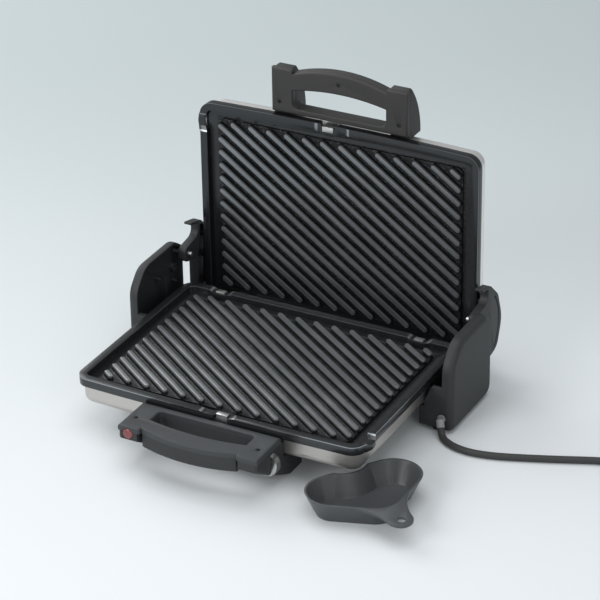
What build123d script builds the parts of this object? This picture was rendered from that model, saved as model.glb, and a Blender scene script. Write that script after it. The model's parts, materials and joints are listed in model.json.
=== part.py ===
from build123d import *
from math import cos, pi, radians, sin, sqrt, tan
import os

# A contact grill, in millimetres: +Z up, the table at Z 0, the cooking front towards -Y.
# Every piece is drawn in the grill's own frame: X 0 is its middle plane and Y 0 the hinge axis.
# The lid and all that rides on it is drawn shut and then swung open, as the photograph shows it.
# The origin handed over is the bottom centre of the box round the grill and its drip cup.
ORIGIN_X = 25.9364
ORIGIN_Y = -107.25

# Hinge and closing gap
HINGE_Z = 24.0
OPEN_ANGLE = 90.0
PLATE_GAP = 6.0
RUNNING_FIT = 0.05
SEAT_GAP = 0.3

# Cooking plates
PLATE_HALF_X = 165.5
PLATE_BACK = 1.5
PLATE_FRONT = -235.5
PLATE_CORNER = 15.0
PLATE_BOW = 3.0
PLATE_FLOOR = 4.0
RIB_TOP_Z = 58.0
RIB_HEIGHT = 5.0
RIB_WIDTH = 6.8
RIB_TAPER = 12.0
RIB_ANGLE = 35.5
RIB_PITCH = 12.6
FIELD_MARGIN_X = 20.5
FIELD_MARGIN_Y = 17.5
FIELD_X = 2 * (PLATE_HALF_X - FIELD_MARGIN_X)
FIELD_Y = PLATE_BACK - PLATE_FRONT - 2 * FIELD_MARGIN_Y
FIELD_CORNER = 7.0
CHANNEL_DROP = 7.0
RIM_RISE = 1.5
RIM_WIDTH = 8.0
TUB_WALL = 2.0
RIM_DEPTH = 4.0
SKIRT_WALL = 2.0
SKIRT_DROP = 4.0
NOTCH_DEPTH = 5.0
NOTCH_DROP = 1.8
NOTCH_RAMP = 6.0
FRONT_DIP_HALF = 15.0
HOOK_FROM_SIDE = 45.5
HOOK_X = PLATE_HALF_X - HOOK_FROM_SIDE
HOOK_NOTCH_HALF = 8.0
SPOUT_BULGE = 4.0
SPOUT_RADIUS = 19.0
SPOUT_MOUTH_HALF = 5.0
SPOUT_DROP = 3.4
SPOUT_FROM_FRONT = 24.0

# Steel shells
RIM_OVERHANG = 4.0
SHELL_HALF_X = PLATE_HALF_X - RIM_OVERHANG
SHELL_FRONT = PLATE_FRONT + RIM_OVERHANG
SHELL_BACK = PLATE_BACK - RIM_OVERHANG
SHELL_BOTTOM = 28.0
SHELL_CORNER = 14.0
SHELL_EDGE = 8.0
SHEET = 1.2

# Heaters and reflectors
HEATER_RADIUS = 3.25
HEATER_HALF_X = FIELD_X / 2 - 27.0
HEATER_STRAIGHT = 8.625
HEATER_BEND = (HEATER_HALF_X / 2 - HEATER_STRAIGHT) / 2
HEATER_HALF_Y = FIELD_Y / 2 - 31.0
HEATER_TAIL_X = 20.0
TERMINAL_RADIUS = 1.5
TERMINAL_LONG = 8.0
REFLECTOR_TOP_Z = 40.0
REFLECTOR_SHEET = 0.8
REFLECTOR_HALF_X = FIELD_X / 2 - 7.0
REFLECTOR_HALF_Y = FIELD_Y / 2 - 17.0
REFLECTOR_FLARE = 8.0
SADDLE_X = 10.0
SADDLE_Y = 12.0

# Handles
HANDLE_TOP_Z = 53.0
HANDLE_SPLIT_Z = 47.0
HANDLE_HALF_X = 80.0
HANDLE_EDGE = 2.0
HANDLE_BACK = SHELL_FRONT - 8.3
WINDOW_BACK = HANDLE_BACK - 7.2
WINDOW_FRONT = WINDOW_BACK - 23.5
WINDOW_CORNER = 5.0
TOWER_FRONT = WINDOW_FRONT - 19.5
TOWER_INNER_X = HANDLE_HALF_X - 25.0
TOWER_ROUND = 6.0
TOWER_EDGE = 4.0
TOWER_FACE = 9.0
TOWER_KNEE_Y = TOWER_FRONT + 28.0
TOWER_KNEE_Z = 20.0
TOWER_FOOT_FRONT = SHELL_FRONT + 9.5
LID_TOWER_ROOT_Z = 17.0
LID_TOWER_SIDE = (TOWER_FRONT + 21.0, 24.4)
BAR_FRONT = TOWER_FRONT - 5.5
BAR_STEP = 4.0
BAR_BOTTOM_Z = 31.0
LID_BAR_BOTTOM_Z = 38.0
STEP_ROUND = 3.0
SCREW_X = HANDLE_HALF_X - 9.5
SCREW_Y = TOWER_FRONT + 20.0
LID_SCREW_Y = TOWER_FRONT + 38.0
SCREW_RADIUS = 2.0
SCREW_HEAD = 3.6
CAP_SCREW_HEAD = 2.9
CAP_SCREW_SUNK = 0.2
CROSS_SLOT = 3.4
CROSS_SLOT_WIDE = 0.8
LEG_INNER_X = HANDLE_HALF_X - 22.0
LEG_BACK = SHELL_FRONT + 34.5
LEG_BOLT_Y = LEG_BACK - 7.5
LEG_TOP_Z = SHELL_BOTTOM - 0.2
FOOT_HEIGHT = 1.5
FOOT_RADIUS = 8.0

# Thermostat and pilot lamp
WHEEL_RADIUS = 13.6
WHEEL_PROUD = 7.1
WHEEL_X = HANDLE_HALF_X + WHEEL_PROUD - WHEEL_RADIUS
WHEEL_Z = 32.0
WHEEL_BACK = TOWER_FRONT + 36.0
WHEEL_THICK = 8.0
WHEEL_TEETH = 40
WHEEL_TOOTH = 0.7
SPINDLE_RADIUS = 3.0
LENS_X = 11.0 - HANDLE_HALF_X
LENS_Z = 44.5
LENS_RADIUS = 6.0
LENS_DEEP = 12.0
LENS_FRONT = TOWER_FRONT - 0.7
LENS_BACK = LENS_FRONT + LENS_DEEP
LAMP_RADIUS = 2.2
LAMP_DEEP = 6.0

# Hinge hardware, outwards from the shell's side
BRACKET_INNER_X = SHELL_HALF_X
BRACKET_THICK = 3.0
PIVOT_RADIUS = 4.0
STRAP_INNER_X = BRACKET_INNER_X + BRACKET_THICK + 3.5
STRAP_THICK = 3.0
STRAP_WIDTH = 14.0
POD_INNER_X = STRAP_INNER_X + STRAP_THICK + 0.2
POD_OUTER_X = POD_INNER_X + 9.3
POD_WALL = 3.0

# Side covers
WING_INNER_X = POD_OUTER_X + 1.5
COVER_OUTER_X = WING_INNER_X + 12.0
COVER_INNER_X = SHELL_HALF_X - 5.5
COVER_FRONT = -80.0
COVER_BACK = 19.0
COVER_TOP = 101.5
COVER_WALL = 2.5
COVER_RIM = 3.0
COVER_ROUND = 7.0
BOX_TOP = 28.0
POST_TOP = 52.0
POST_INNER_X = SHELL_HALF_X + 0.4
POST_SLOPE_FROM = 34.0
POST_SLOPE_RUN = 8.0
POST_THICK = 5.5
POST_FOOT_THICK = 9.4
TOE_PIN_RADIUS = 2.5
TOE_PIN_Y = -62.0
STOP_GAP = 0.02
TOE_PIN_Z = HINGE_Z + COVER_BACK - COVER_RIM - TOE_PIN_RADIUS - STOP_GAP
TOE_PIN_INNER_X = STRAP_INNER_X - 1.5
TOE_PIN_OUTER_X = COVER_OUTER_X - 4.0
LUG_SCREWS_Y = (-42.0, -68.0)
LUG_SCREW_Z = 79.2

# Plate catches
CATCH_X = 10.0
CATCH_HALF = 6.5
CATCH_NOTCH_HALF = CATCH_HALF + 2.0
CATCH_SHEET = 1.2

# Drip cup
CUP_X = SHELL_HALF_X + 9.5
CUP_Y = SHELL_FRONT - 5.0
CUP_TURN = -35.5
CUP_HEIGHT = 25.0
CUP_LOBE_RADIUS = 29.5
CUP_LOBE_OFFSET = 33.5
CUP_NOSE_RADIUS = 30.0
CUP_NOSE_AT = 23.5
CUP_NOTCH_RADIUS = 29.0
CUP_NOTCH_AT = -22.0
CUP_NOTCH_ROUND = 12.0
CUP_TAPER = 24.5
CUP_WALL = 2.2
CUP_TAB_AT = 76.0
CUP_TAB_RADIUS = 13.0
CUP_TAB_THICK = 3.0
CUP_TONGUE_FROM = 38.0
CUP_TONGUE_HALF = 31.0
CUP_WAIST_AT = 56.0
CUP_WAIST_HALF = 18.5
CUP_HOLE_AT = 78.0
CUP_HOLE_RADIUS = 4.6

# Mains lead
CORD_RADIUS = 3.75
GLAND_X = WING_INNER_X
GLAND_Z = 17.5
GLAND_RADIUS = CORD_RADIUS + 0.7
COIL_RADIUS = 44.0
COIL_PITCH = 9.6
COIL_LAYER = 8.2
COIL_LIFT = 1.2
TIE_SHEET = 0.8
TIE_WIDTH = 5.0
PLUG_RADIUS = 17.0

os.makedirs("parts", exist_ok=True)
TO_ORIGIN = Location((-ORIGIN_X, -ORIGIN_Y, 0))
HINGE = Location((0, 0, HINGE_Z))
LID_SWING = HINGE * Location((0, 0, 0), (-OPEN_ANGLE, 0, 0)) * HINGE.inverse()
FLIP_Z = RIB_TOP_Z + PLATE_GAP / 2
LID_FLIP = Location((0, 0, FLIP_Z)) * Location((0, 0, 0), (0, 180, 0)) * Location((0, 0, -FLIP_Z))
PLATE_MID_Y = (PLATE_FRONT + PLATE_BACK) / 2


def keep(part, name, on_lid=False):
    """Writes a piece under its node name, swung open where it rides on the lid."""
    placed = part.moved(LID_SWING) if on_lid else part
    placed = placed.moved(TO_ORIGIN)
    placed.label = name
    export_step(placed, f"parts/{name}.step")


def turned_over(part):
    """A lower piece turned over about the front-back line, as the lid carries it when shut."""
    return part.moved(LID_FLIP)


def along_y(x, y, z):
    """A place whose own Z runs towards the front."""
    return Location((x, y, z), (90, 0, 0))


def along_x(x, y, z):
    """A place whose own Z runs along +X."""
    return Location((x, y, z), (0, 90, 0))


def bar_between(start, end, width):
    """Adds a round-ended bar between two points of the current sketch."""
    run = Vector(*end) - Vector(*start)
    middle = (Vector(*start) + Vector(*end)) * 0.5
    angle = Vector(1, 0).get_signed_angle(run, Vector(0, 0, 1))
    with Locations((middle.X, middle.Y)):
        SlotCenterToCenter(run.length, width, rotation=angle)


def bowed_outline(half_x, front, back, corner):
    """A rectangle with round corners whose front edge bows outwards."""
    with BuildSketch() as outline:
        with BuildLine():
            Polyline((-half_x, front), (-half_x, back), (half_x, back), (half_x, front))
            ThreePointArc((half_x, front), (0, front - PLATE_BOW), (-half_x, front))
        make_face()
        fillet(outline.vertices(), corner)
    return outline.sketch


def plate_outline():
    """The plate seen from above, with its three catch notches and its pouring spout."""
    with BuildSketch() as outline:
        add(bowed_outline(PLATE_HALF_X, PLATE_FRONT, PLATE_BACK, PLATE_CORNER))
        spout_x = PLATE_HALF_X + SPOUT_BULGE - SPOUT_RADIUS
        with Locations((spout_x, PLATE_FRONT + SPOUT_FROM_FRONT)):
            Circle(SPOUT_RADIUS)
        notch_front = PLATE_FRONT - PLATE_BOW
        with Locations((CATCH_X, notch_front)):
            RectangleRounded(2 * CATCH_NOTCH_HALF, 2 * NOTCH_DEPTH, NOTCH_DEPTH - 0.5, mode=Mode.SUBTRACT)
        with Locations((-HOOK_X, PLATE_BACK), (HOOK_X, PLATE_BACK)):
            RectangleRounded(2 * HOOK_NOTCH_HALF, 2 * NOTCH_DEPTH - 2, NOTCH_DEPTH - 2, mode=Mode.SUBTRACT)
    return outline.sketch


# Cooking plate, one casting used twice
RIM_TOP_Z = RIB_TOP_Z + RIM_RISE
FLANGE_Z = RIM_TOP_Z - RIM_RISE - RIM_DEPTH
FIELD_FLOOR_Z = RIB_TOP_Z - RIB_HEIGHT
CHANNEL_Z = RIB_TOP_Z - CHANNEL_DROP
TUB_INSET = RIM_WIDTH - TUB_WALL
FIELD_MID_Y = PLATE_MID_Y

with BuildPart() as plate:
    with BuildSketch(Plane.XY.offset(FLANGE_Z)):
        add(plate_outline())
    extrude(amount=RIM_TOP_Z - FLANGE_Z)
    with BuildSketch(Plane.XY.offset(FLANGE_Z)):
        offset(plate_outline(), amount=-RIM_WIDTH)
    extrude(amount=RIM_TOP_Z - FLANGE_Z, mode=Mode.SUBTRACT)
    with BuildSketch(Plane.XY.offset(FLANGE_Z)):
        add(plate_outline())
        offset(amount=-SKIRT_WALL, mode=Mode.SUBTRACT)
        with Locations((CATCH_X, PLATE_FRONT)):
            Rectangle(2 * CATCH_NOTCH_HALF + 2 * SKIRT_WALL, 6 * NOTCH_DEPTH, mode=Mode.SUBTRACT)
        with Locations((-HOOK_X, PLATE_BACK), (HOOK_X, PLATE_BACK)):
            Rectangle(2 * HOOK_NOTCH_HALF + 2 * SKIRT_WALL, 4 * NOTCH_DEPTH, mode=Mode.SUBTRACT)
    extrude(amount=-SKIRT_DROP)
    with BuildSketch(Plane.XY.offset(CHANNEL_Z - PLATE_FLOOR)):
        add(bowed_outline(PLATE_HALF_X - TUB_INSET, PLATE_FRONT + TUB_INSET, PLATE_BACK - TUB_INSET,
                          SHELL_CORNER - (TUB_INSET - RIM_OVERHANG)))
    extrude(amount=FLANGE_Z - CHANNEL_Z + PLATE_FLOOR)
    with BuildSketch(Plane.XY.offset(CHANNEL_Z)):
        offset(plate_outline(), amount=-RIM_WIDTH)
    extrude(amount=FLANGE_Z - CHANNEL_Z, mode=Mode.SUBTRACT)
    with BuildSketch(Plane.XY.offset(CHANNEL_Z)):
        with Locations((0, FIELD_MID_Y)):
            RectangleRounded(FIELD_X, FIELD_Y, FIELD_CORNER)
    extrude(amount=FIELD_FLOOR_Z - CHANNEL_Z)
    with BuildSketch(Plane.XY.offset(CHANNEL_Z - PLATE_FLOOR)):
        with Locations((0, FIELD_MID_Y)):
            RectangleRounded(FIELD_X - 2 * PLATE_FLOOR, FIELD_Y - 2 * PLATE_FLOOR, FIELD_CORNER)
    extrude(amount=FIELD_FLOOR_Z - CHANNEL_Z, mode=Mode.SUBTRACT)
    # The rim dips at the three notches and at the spout's mouth
    for dip_x, dip_y, dip_half in ((CATCH_X / 2, PLATE_FRONT, FRONT_DIP_HALF), (-HOOK_X, PLATE_BACK, HOOK_NOTCH_HALF),
                                   (HOOK_X, PLATE_BACK, HOOK_NOTCH_HALF)):
        with BuildSketch(Plane.XZ.offset(-dip_y - 3 * NOTCH_DEPTH)) as dip:
            with BuildLine():
                Polyline((dip_x - dip_half - NOTCH_RAMP, RIM_TOP_Z), (dip_x - dip_half, RIM_TOP_Z - NOTCH_DROP),
                         (dip_x + dip_half, RIM_TOP_Z - NOTCH_DROP), (dip_x + dip_half + NOTCH_RAMP, RIM_TOP_Z),
                         close=True)
            make_face()
            fillet(dip.vertices().group_by(Axis.Y)[0], NOTCH_RAMP)
        extrude(amount=6 * NOTCH_DEPTH, mode=Mode.SUBTRACT)
    with BuildSketch(Plane.YZ.offset(PLATE_HALF_X - RIM_WIDTH)) as mouth:
        mouth_y = PLATE_FRONT + SPOUT_FROM_FRONT
        with BuildLine():
            Polyline((mouth_y - SPOUT_MOUTH_HALF - NOTCH_RAMP, RIM_TOP_Z),
                     (mouth_y - SPOUT_MOUTH_HALF, RIM_TOP_Z - SPOUT_DROP),
                     (mouth_y + SPOUT_MOUTH_HALF, RIM_TOP_Z - SPOUT_DROP),
                     (mouth_y + SPOUT_MOUTH_HALF + NOTCH_RAMP, RIM_TOP_Z), close=True)
        make_face()
        fillet(mouth.vertices().group_by(Axis.Y)[0], NOTCH_RAMP / 2)
    extrude(amount=2 * RIM_WIDTH, mode=Mode.SUBTRACT)


def rib_ends():
    """The centre lines of the ribs, clipped to the rib field."""
    half_x = FIELD_X / 2 - RIB_WIDTH / 2
    half_y = FIELD_Y / 2 - RIB_WIDTH / 2
    along = (cos(radians(-RIB_ANGLE)), sin(radians(-RIB_ANGLE)))
    across = (-along[1], along[0])
    ends = []
    count = int((half_x * across[0] + half_y * across[1]) / RIB_PITCH) + 1
    for row in range(-count, count + 1):
        middle = ((row + 0.5) * RIB_PITCH * across[0], (row + 0.5) * RIB_PITCH * across[1])
        low, high = -1e6, 1e6
        for centre, step, half in zip(middle, along, (half_x, half_y)):
            near, far = sorted(((-half - centre) / step, (half - centre) / step))
            low, high = max(low, near), min(high, far)
        if high - low > RIB_WIDTH:
            start = (middle[0] + low * along[0], middle[1] + low * along[1] + FIELD_MID_Y)
            end = (middle[0] + high * along[0], middle[1] + high * along[1] + FIELD_MID_Y)
            ends.append((start, end))
    return ends


with BuildPart() as ribbed_plate:
    add(plate.part)
    with BuildSketch(Plane.XY.offset(FIELD_FLOOR_Z)):
        for rib_start, rib_end in rib_ends():
            bar_between(rib_start, rib_end, RIB_WIDTH)
    extrude(amount=RIB_HEIGHT, taper=RIB_TAPER)

keep(ribbed_plate.part, "lower_plate")
keep(turned_over(ribbed_plate.part), "upper_plate", on_lid=True)

# Steel shells, one pressing used twice, each with the holes of its own half
SHELL_RIM_Z = FLANGE_Z
SHELL_FLOOR = SHELL_BOTTOM + SHEET
CATCH_BACK = SHELL_FRONT - PLATE_BOW - 0.5
CATCH_SLOT_Z = 42.0
CATCH_SLOT_HALF = CATCH_HALF - 2.0
HOOK_HALF = 5.5
BOLT_Z = 40.0
LUG_CLEARANCE = 0.2
RIVET_RADIUS = 2.0
RIVETS_Y = (-30.0, -60.0)
RIVET_Z = 43.0

with BuildPart() as shell_pan:
    with BuildSketch(Plane.XY.offset(SHELL_BOTTOM)):
        add(bowed_outline(SHELL_HALF_X, SHELL_FRONT, SHELL_BACK, SHELL_CORNER))
    extrude(amount=SHELL_RIM_Z - SHELL_BOTTOM)
    fillet(shell_pan.faces().sort_by(Axis.Z)[0].edges(), SHELL_EDGE)
    offset(amount=-SHEET, openings=shell_pan.faces().sort_by(Axis.Z)[-1])
    # Slot for the plate catch and holes for the bolts through the handle's back
    with BuildSketch(Plane.XZ.offset(-SHELL_FRONT - 3 * SHEET)):
        with Locations((CATCH_X, CATCH_SLOT_Z)):
            Rectangle(2 * CATCH_SLOT_HALF + 1, CATCH_SHEET + 1)
    extrude(amount=PLATE_BOW + 6 * SHEET, mode=Mode.SUBTRACT)
    for bolt_x in (-SCREW_X, SCREW_X):
        with Locations(along_y(bolt_x, SHELL_FRONT, BOLT_Z)):
            Cylinder(SCREW_RADIUS + LUG_CLEARANCE, 6 * PLATE_BOW, mode=Mode.SUBTRACT)

with BuildPart() as lower_shell:
    add(shell_pan.part)
    with BuildSketch(Plane.XY.offset(SHELL_BOTTOM)):
        with Locations((-SCREW_X, LEG_BOLT_Y), (SCREW_X, LEG_BOLT_Y)):
            Circle(SCREW_RADIUS + LUG_CLEARANCE)
    extrude(amount=SHEET, mode=Mode.SUBTRACT)
    with Locations(along_y(WHEEL_X, SHELL_FRONT, WHEEL_Z)):
        Cylinder(SPINDLE_RADIUS + 1, 6 * PLATE_BOW, mode=Mode.SUBTRACT)
    for side in (-1, 1):
        for rivet_y in RIVETS_Y:
            with Locations(along_x(side * SHELL_HALF_X, rivet_y, RIVET_Z)):
                Cylinder(RIVET_RADIUS + RUNNING_FIT, 4 * SHEET, mode=Mode.SUBTRACT)
keep(lower_shell.part, "lower_shell")

FLIPPED_LUG_Z = 2 * FLIP_Z - LUG_SCREW_Z
with BuildPart() as upper_shell:
    add(shell_pan.part)
    for side in (-1, 1):
        for lug_y in LUG_SCREWS_Y:
            with Locations(along_x(side * SHELL_HALF_X, lug_y, FLIPPED_LUG_Z)):
                Cylinder(SCREW_RADIUS + RUNNING_FIT, 4 * SHEET, mode=Mode.SUBTRACT)
keep(turned_over(upper_shell.part), "upper_shell", on_lid=True)

# Reflector, a folded tray under the heater that stands on the shell's floor
with BuildPart() as reflector:
    with BuildSketch(Plane.XZ.offset(-PLATE_MID_Y - REFLECTOR_HALF_Y)):
        with BuildLine():
            Polyline((-REFLECTOR_HALF_X - REFLECTOR_FLARE, SHELL_FLOOR + REFLECTOR_SHEET),
                     (-REFLECTOR_HALF_X, REFLECTOR_TOP_Z), (REFLECTOR_HALF_X, REFLECTOR_TOP_Z),
                     (REFLECTOR_HALF_X + REFLECTOR_FLARE, SHELL_FLOOR + REFLECTOR_SHEET))
            offset(amount=REFLECTOR_SHEET, side=Side.RIGHT)
        make_face()
    extrude(amount=2 * REFLECTOR_HALF_Y)
keep(reflector.part, "lower_reflector")
keep(turned_over(reflector.part), "upper_reflector", on_lid=True)

# Tubular heater, bent in a long M, its top just under the plate
HEATER_Z = FIELD_FLOOR_Z - PLATE_FLOOR - SEAT_GAP - HEATER_RADIUS
HEATER_BACK = PLATE_MID_Y + HEATER_HALF_Y
HEATER_FRONT = PLATE_MID_Y - HEATER_HALF_Y
HEATER_POINTS = (
    (HEATER_TAIL_X, HEATER_BACK), (HEATER_HALF_X, HEATER_BACK), (HEATER_HALF_X, HEATER_FRONT),
    (0, HEATER_FRONT), (0, PLATE_MID_Y), (-HEATER_HALF_X / 2, PLATE_MID_Y),
    (-HEATER_HALF_X / 2, HEATER_FRONT), (-HEATER_HALF_X, HEATER_FRONT),
    (-HEATER_HALF_X, HEATER_BACK), (-HEATER_TAIL_X, HEATER_BACK),
)
with BuildPart() as heater:
    with BuildLine() as heater_path:
        FilletPolyline(*[(x, y, HEATER_Z) for x, y in HEATER_POINTS], radius=HEATER_BEND)
    with BuildSketch(Plane(origin=heater_path.line @ 0, z_dir=heater_path.line % 0)):
        Circle(HEATER_RADIUS)
    sweep()
    for tail in (-HEATER_TAIL_X, HEATER_TAIL_X):
        inwards = -TERMINAL_LONG / 2 if tail > 0 else TERMINAL_LONG / 2
        with Locations(along_x(tail + inwards, HEATER_BACK, HEATER_Z)):
            Cylinder(TERMINAL_RADIUS, TERMINAL_LONG)
keep(heater.part, "lower_heater")
keep(turned_over(heater.part), "upper_heater", on_lid=True)

# Saddles that hold the heater off the reflector
SADDLE_ROWS_Y = (PLATE_MID_Y, PLATE_MID_Y + HEATER_HALF_Y - HEATER_BEND - 1.5 * SADDLE_Y)
with BuildPart() as saddles:
    with BuildSketch(Plane.XY.offset(REFLECTOR_TOP_Z)):
        for saddle_y in SADDLE_ROWS_Y:
            with Locations((-HEATER_HALF_X, saddle_y), (HEATER_HALF_X, saddle_y)):
                Rectangle(SADDLE_X, SADDLE_Y)
    extrude(amount=HEATER_Z - REFLECTOR_TOP_Z)
    for side in (-1, 1):
        with Locations(along_y(side * HEATER_HALF_X, PLATE_MID_Y, HEATER_Z)):
            Cylinder(HEATER_RADIUS + RUNNING_FIT, 2 * HEATER_HALF_Y, mode=Mode.SUBTRACT)
keep(saddles.part, "lower_heater_saddles")
keep(turned_over(saddles.part), "upper_heater_saddles", on_lid=True)


# Handles: an end tower each side, a cross bar at the back and an arched grip in front
def handle_outline():
    """The handle seen from above, with its finger window."""
    with BuildSketch() as outline:
        with BuildLine():
            Polyline((-HANDLE_HALF_X, TOWER_FRONT), (-HANDLE_HALF_X, HANDLE_BACK),
                     (HANDLE_HALF_X, HANDLE_BACK), (HANDLE_HALF_X, TOWER_FRONT),
                     (TOWER_INNER_X, TOWER_FRONT), (TOWER_INNER_X, TOWER_FRONT + BAR_STEP))
            ThreePointArc((TOWER_INNER_X, TOWER_FRONT + BAR_STEP), (0, BAR_FRONT),
                          (-TOWER_INNER_X, TOWER_FRONT + BAR_STEP))
            Polyline((-TOWER_INNER_X, TOWER_FRONT + BAR_STEP), (-TOWER_INNER_X, TOWER_FRONT),
                     (-HANDLE_HALF_X, TOWER_FRONT))
        make_face()
        front_corners = outline.vertices().group_by(Axis.Y)[0].sort_by(Axis.X)
        fillet(front_corners[1:3], STEP_ROUND)
        fillet([front_corners[0], front_corners[-1]], TOWER_ROUND)
        with BuildLine():
            window_end = (TOWER_INNER_X, WINDOW_FRONT + BAR_STEP)
            FilletPolyline((-window_end[0], window_end[1]), (-TOWER_INNER_X, WINDOW_BACK),
                           (TOWER_INNER_X, WINDOW_BACK), window_end, radius=WINDOW_CORNER)
            ThreePointArc(window_end, (0, WINDOW_FRONT - BAR_STEP / 2), (-window_end[0], window_end[1]))
        make_face(mode=Mode.SUBTRACT)
    return outline.sketch


TOWER_BACK = SHELL_FRONT - PLATE_BOW - SEAT_GAP
MID_SCREW_Y = (WINDOW_FRONT + BAR_FRONT) / 2 - 1.0

with BuildPart() as handle_cap:
    with BuildSketch(Plane.XY.offset(HANDLE_SPLIT_Z)):
        add(handle_outline())
    extrude(amount=HANDLE_TOP_Z - HANDLE_SPLIT_Z)
    fillet(handle_cap.faces().sort_by(Axis.Z)[-1].edges(), HANDLE_EDGE)

LOWER_CAP_SCREWS = ((-SCREW_X, SCREW_Y), (SCREW_X, SCREW_Y))
UPPER_CAP_SCREWS = ((-SCREW_X, LID_SCREW_Y), (SCREW_X, LID_SCREW_Y), (0, MID_SCREW_Y))
with BuildPart() as lower_handle_cap:
    add(handle_cap.part)
    with Locations(*[(x, y, HANDLE_TOP_Z) for x, y in LOWER_CAP_SCREWS]):
        CounterSinkHole(SCREW_RADIUS, CAP_SCREW_HEAD)
    with Locations(along_y(LENS_X, LENS_BACK, LENS_Z)):
        Cylinder(LENS_RADIUS + RUNNING_FIT, 2 * LENS_DEEP, align=(Align.CENTER, Align.CENTER, Align.MIN),
                 mode=Mode.SUBTRACT)

with BuildPart() as upper_handle_cap:
    add(handle_cap.part)
    with Locations(*[(x, y, HANDLE_TOP_Z) for x, y in UPPER_CAP_SCREWS]):
        CounterSinkHole(SCREW_RADIUS, CAP_SCREW_HEAD)


def tower_blank(leg):
    """Both towers below the split, wedge-shaped from the side with a leg, or bulging without."""
    face_end = (TOWER_FRONT, HANDLE_SPLIT_Z - TOWER_FACE)
    with BuildPart() as towers:
        with BuildSketch(Plane.YZ.offset(-HANDLE_HALF_X)):
            with BuildLine():
                if leg:
                    Polyline(face_end, (TOWER_KNEE_Y, TOWER_KNEE_Z), (TOWER_FOOT_FRONT, FOOT_HEIGHT),
                             (LEG_BACK, FOOT_HEIGHT), (LEG_BACK, LEG_TOP_Z), (TOWER_BACK, LEG_TOP_Z),
                             (TOWER_BACK, HANDLE_SPLIT_Z), (TOWER_FRONT, HANDLE_SPLIT_Z), face_end)
                else:
                    ThreePointArc(face_end, LID_TOWER_SIDE, (TOWER_BACK, LID_TOWER_ROOT_Z))
                    Polyline((TOWER_BACK, LID_TOWER_ROOT_Z), (TOWER_BACK, HANDLE_SPLIT_Z),
                             (TOWER_FRONT, HANDLE_SPLIT_Z), face_end)
            make_face()
        extrude(amount=HANDLE_HALF_X - LEG_INNER_X)
        outer_edges = towers.faces().sort_by(Axis.X)[0].edges()
        fillet([edge for edge in outer_edges
                if edge.center().Y < TOWER_KNEE_Y and edge.center().Z < HANDLE_SPLIT_Z - 1], TOWER_EDGE)
        mirror(about=Plane.YZ)
    return towers.part


def handle_base(leg):
    """The body of a handle below its cap: towers, grip and cross bar."""
    bar_bottom = BAR_BOTTOM_Z if leg else LID_BAR_BOTTOM_Z
    with BuildPart() as base:
        with BuildSketch(Plane.XY.offset(HANDLE_SPLIT_Z)):
            add(handle_outline())
        extrude(amount=bar_bottom - HANDLE_SPLIT_Z)
        fillet(base.faces().sort_by(Axis.Z)[0].edges().sort_by(Axis.Y)[0:3], HANDLE_EDGE)
        for side in (-1, 1):
            with Locations((side * (HANDLE_HALF_X + LEG_INNER_X) / 2, TOWER_FRONT, bar_bottom)):
                Box(HANDLE_HALF_X - LEG_INNER_X + 4 * HANDLE_EDGE, 2 * (WINDOW_FRONT - TOWER_FRONT),
                    2 * (HANDLE_SPLIT_Z - bar_bottom), mode=Mode.SUBTRACT)
        add(tower_blank(leg))
    return base.part


WHEEL_MID_Y = WHEEL_BACK - WHEEL_THICK / 2
THERMOSTAT_FRONT = SHELL_FRONT + SHELL_EDGE
THERMOSTAT_DEEP = 12.0
THERMOSTAT_WIDE = 24.0
THERMOSTAT_HIGH = 14.0
SCREW_LONG = 12.0

with BuildPart() as lower_handle_base:
    add(handle_base(leg=True))
    # Wheel slot, spindle bore, lamp bore and screw bores
    with Locations(along_y(WHEEL_X, WHEEL_MID_Y, WHEEL_Z)):
        Cylinder(WHEEL_RADIUS + 2 * SEAT_GAP, WHEEL_THICK + 2 * SEAT_GAP, mode=Mode.SUBTRACT)
    with Locations(along_y(WHEEL_X, (WHEEL_BACK + TOWER_BACK) / 2, WHEEL_Z)):
        Cylinder(SPINDLE_RADIUS + RUNNING_FIT, TOWER_BACK - WHEEL_BACK + 2, mode=Mode.SUBTRACT)
    with Locations(along_y(LENS_X, LENS_BACK, LENS_Z)):
        Cylinder(LENS_RADIUS + RUNNING_FIT, 2 * LENS_DEEP, align=(Align.CENTER, Align.CENTER, Align.MIN),
                 mode=Mode.SUBTRACT)
    with Locations(along_y(LENS_X, LENS_BACK + LAMP_DEEP / 2, LENS_Z)):
        Cylinder(LAMP_RADIUS + RUNNING_FIT, LAMP_DEEP, mode=Mode.SUBTRACT)
    with Locations(*[(x, y, HANDLE_SPLIT_Z) for x, y in LOWER_CAP_SCREWS]):
        Hole(SCREW_RADIUS, depth=SCREW_LONG / 2)
    with Locations((-SCREW_X, LEG_BOLT_Y, LEG_TOP_Z), (SCREW_X, LEG_BOLT_Y, LEG_TOP_Z)):
        Hole(SCREW_RADIUS, depth=SCREW_LONG)
    for bolt_x in (-SCREW_X, SCREW_X):
        with Locations(along_y(bolt_x, TOWER_BACK, BOLT_Z)):
            Cylinder(SCREW_RADIUS, 2 * SCREW_LONG, mode=Mode.SUBTRACT)
keep(lower_handle_cap.part, "lower_handle_cap")
keep(lower_handle_base.part, "lower_handle_base")
keep(turned_over(upper_handle_cap.part), "upper_handle_cap", on_lid=True)
with BuildPart() as upper_handle_base:
    add(handle_base(leg=False))
    with Locations(*[(x, y, HANDLE_SPLIT_Z) for x, y in UPPER_CAP_SCREWS]):
        Hole(SCREW_RADIUS, depth=SCREW_LONG / 2)
    for bolt_x in (-SCREW_X, SCREW_X):
        with Locations(along_y(bolt_x, TOWER_BACK, BOLT_Z)):
            Cylinder(SCREW_RADIUS, 2 * SCREW_LONG, mode=Mode.SUBTRACT)
keep(turned_over(upper_handle_base.part), "upper_handle_base", on_lid=True)


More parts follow.
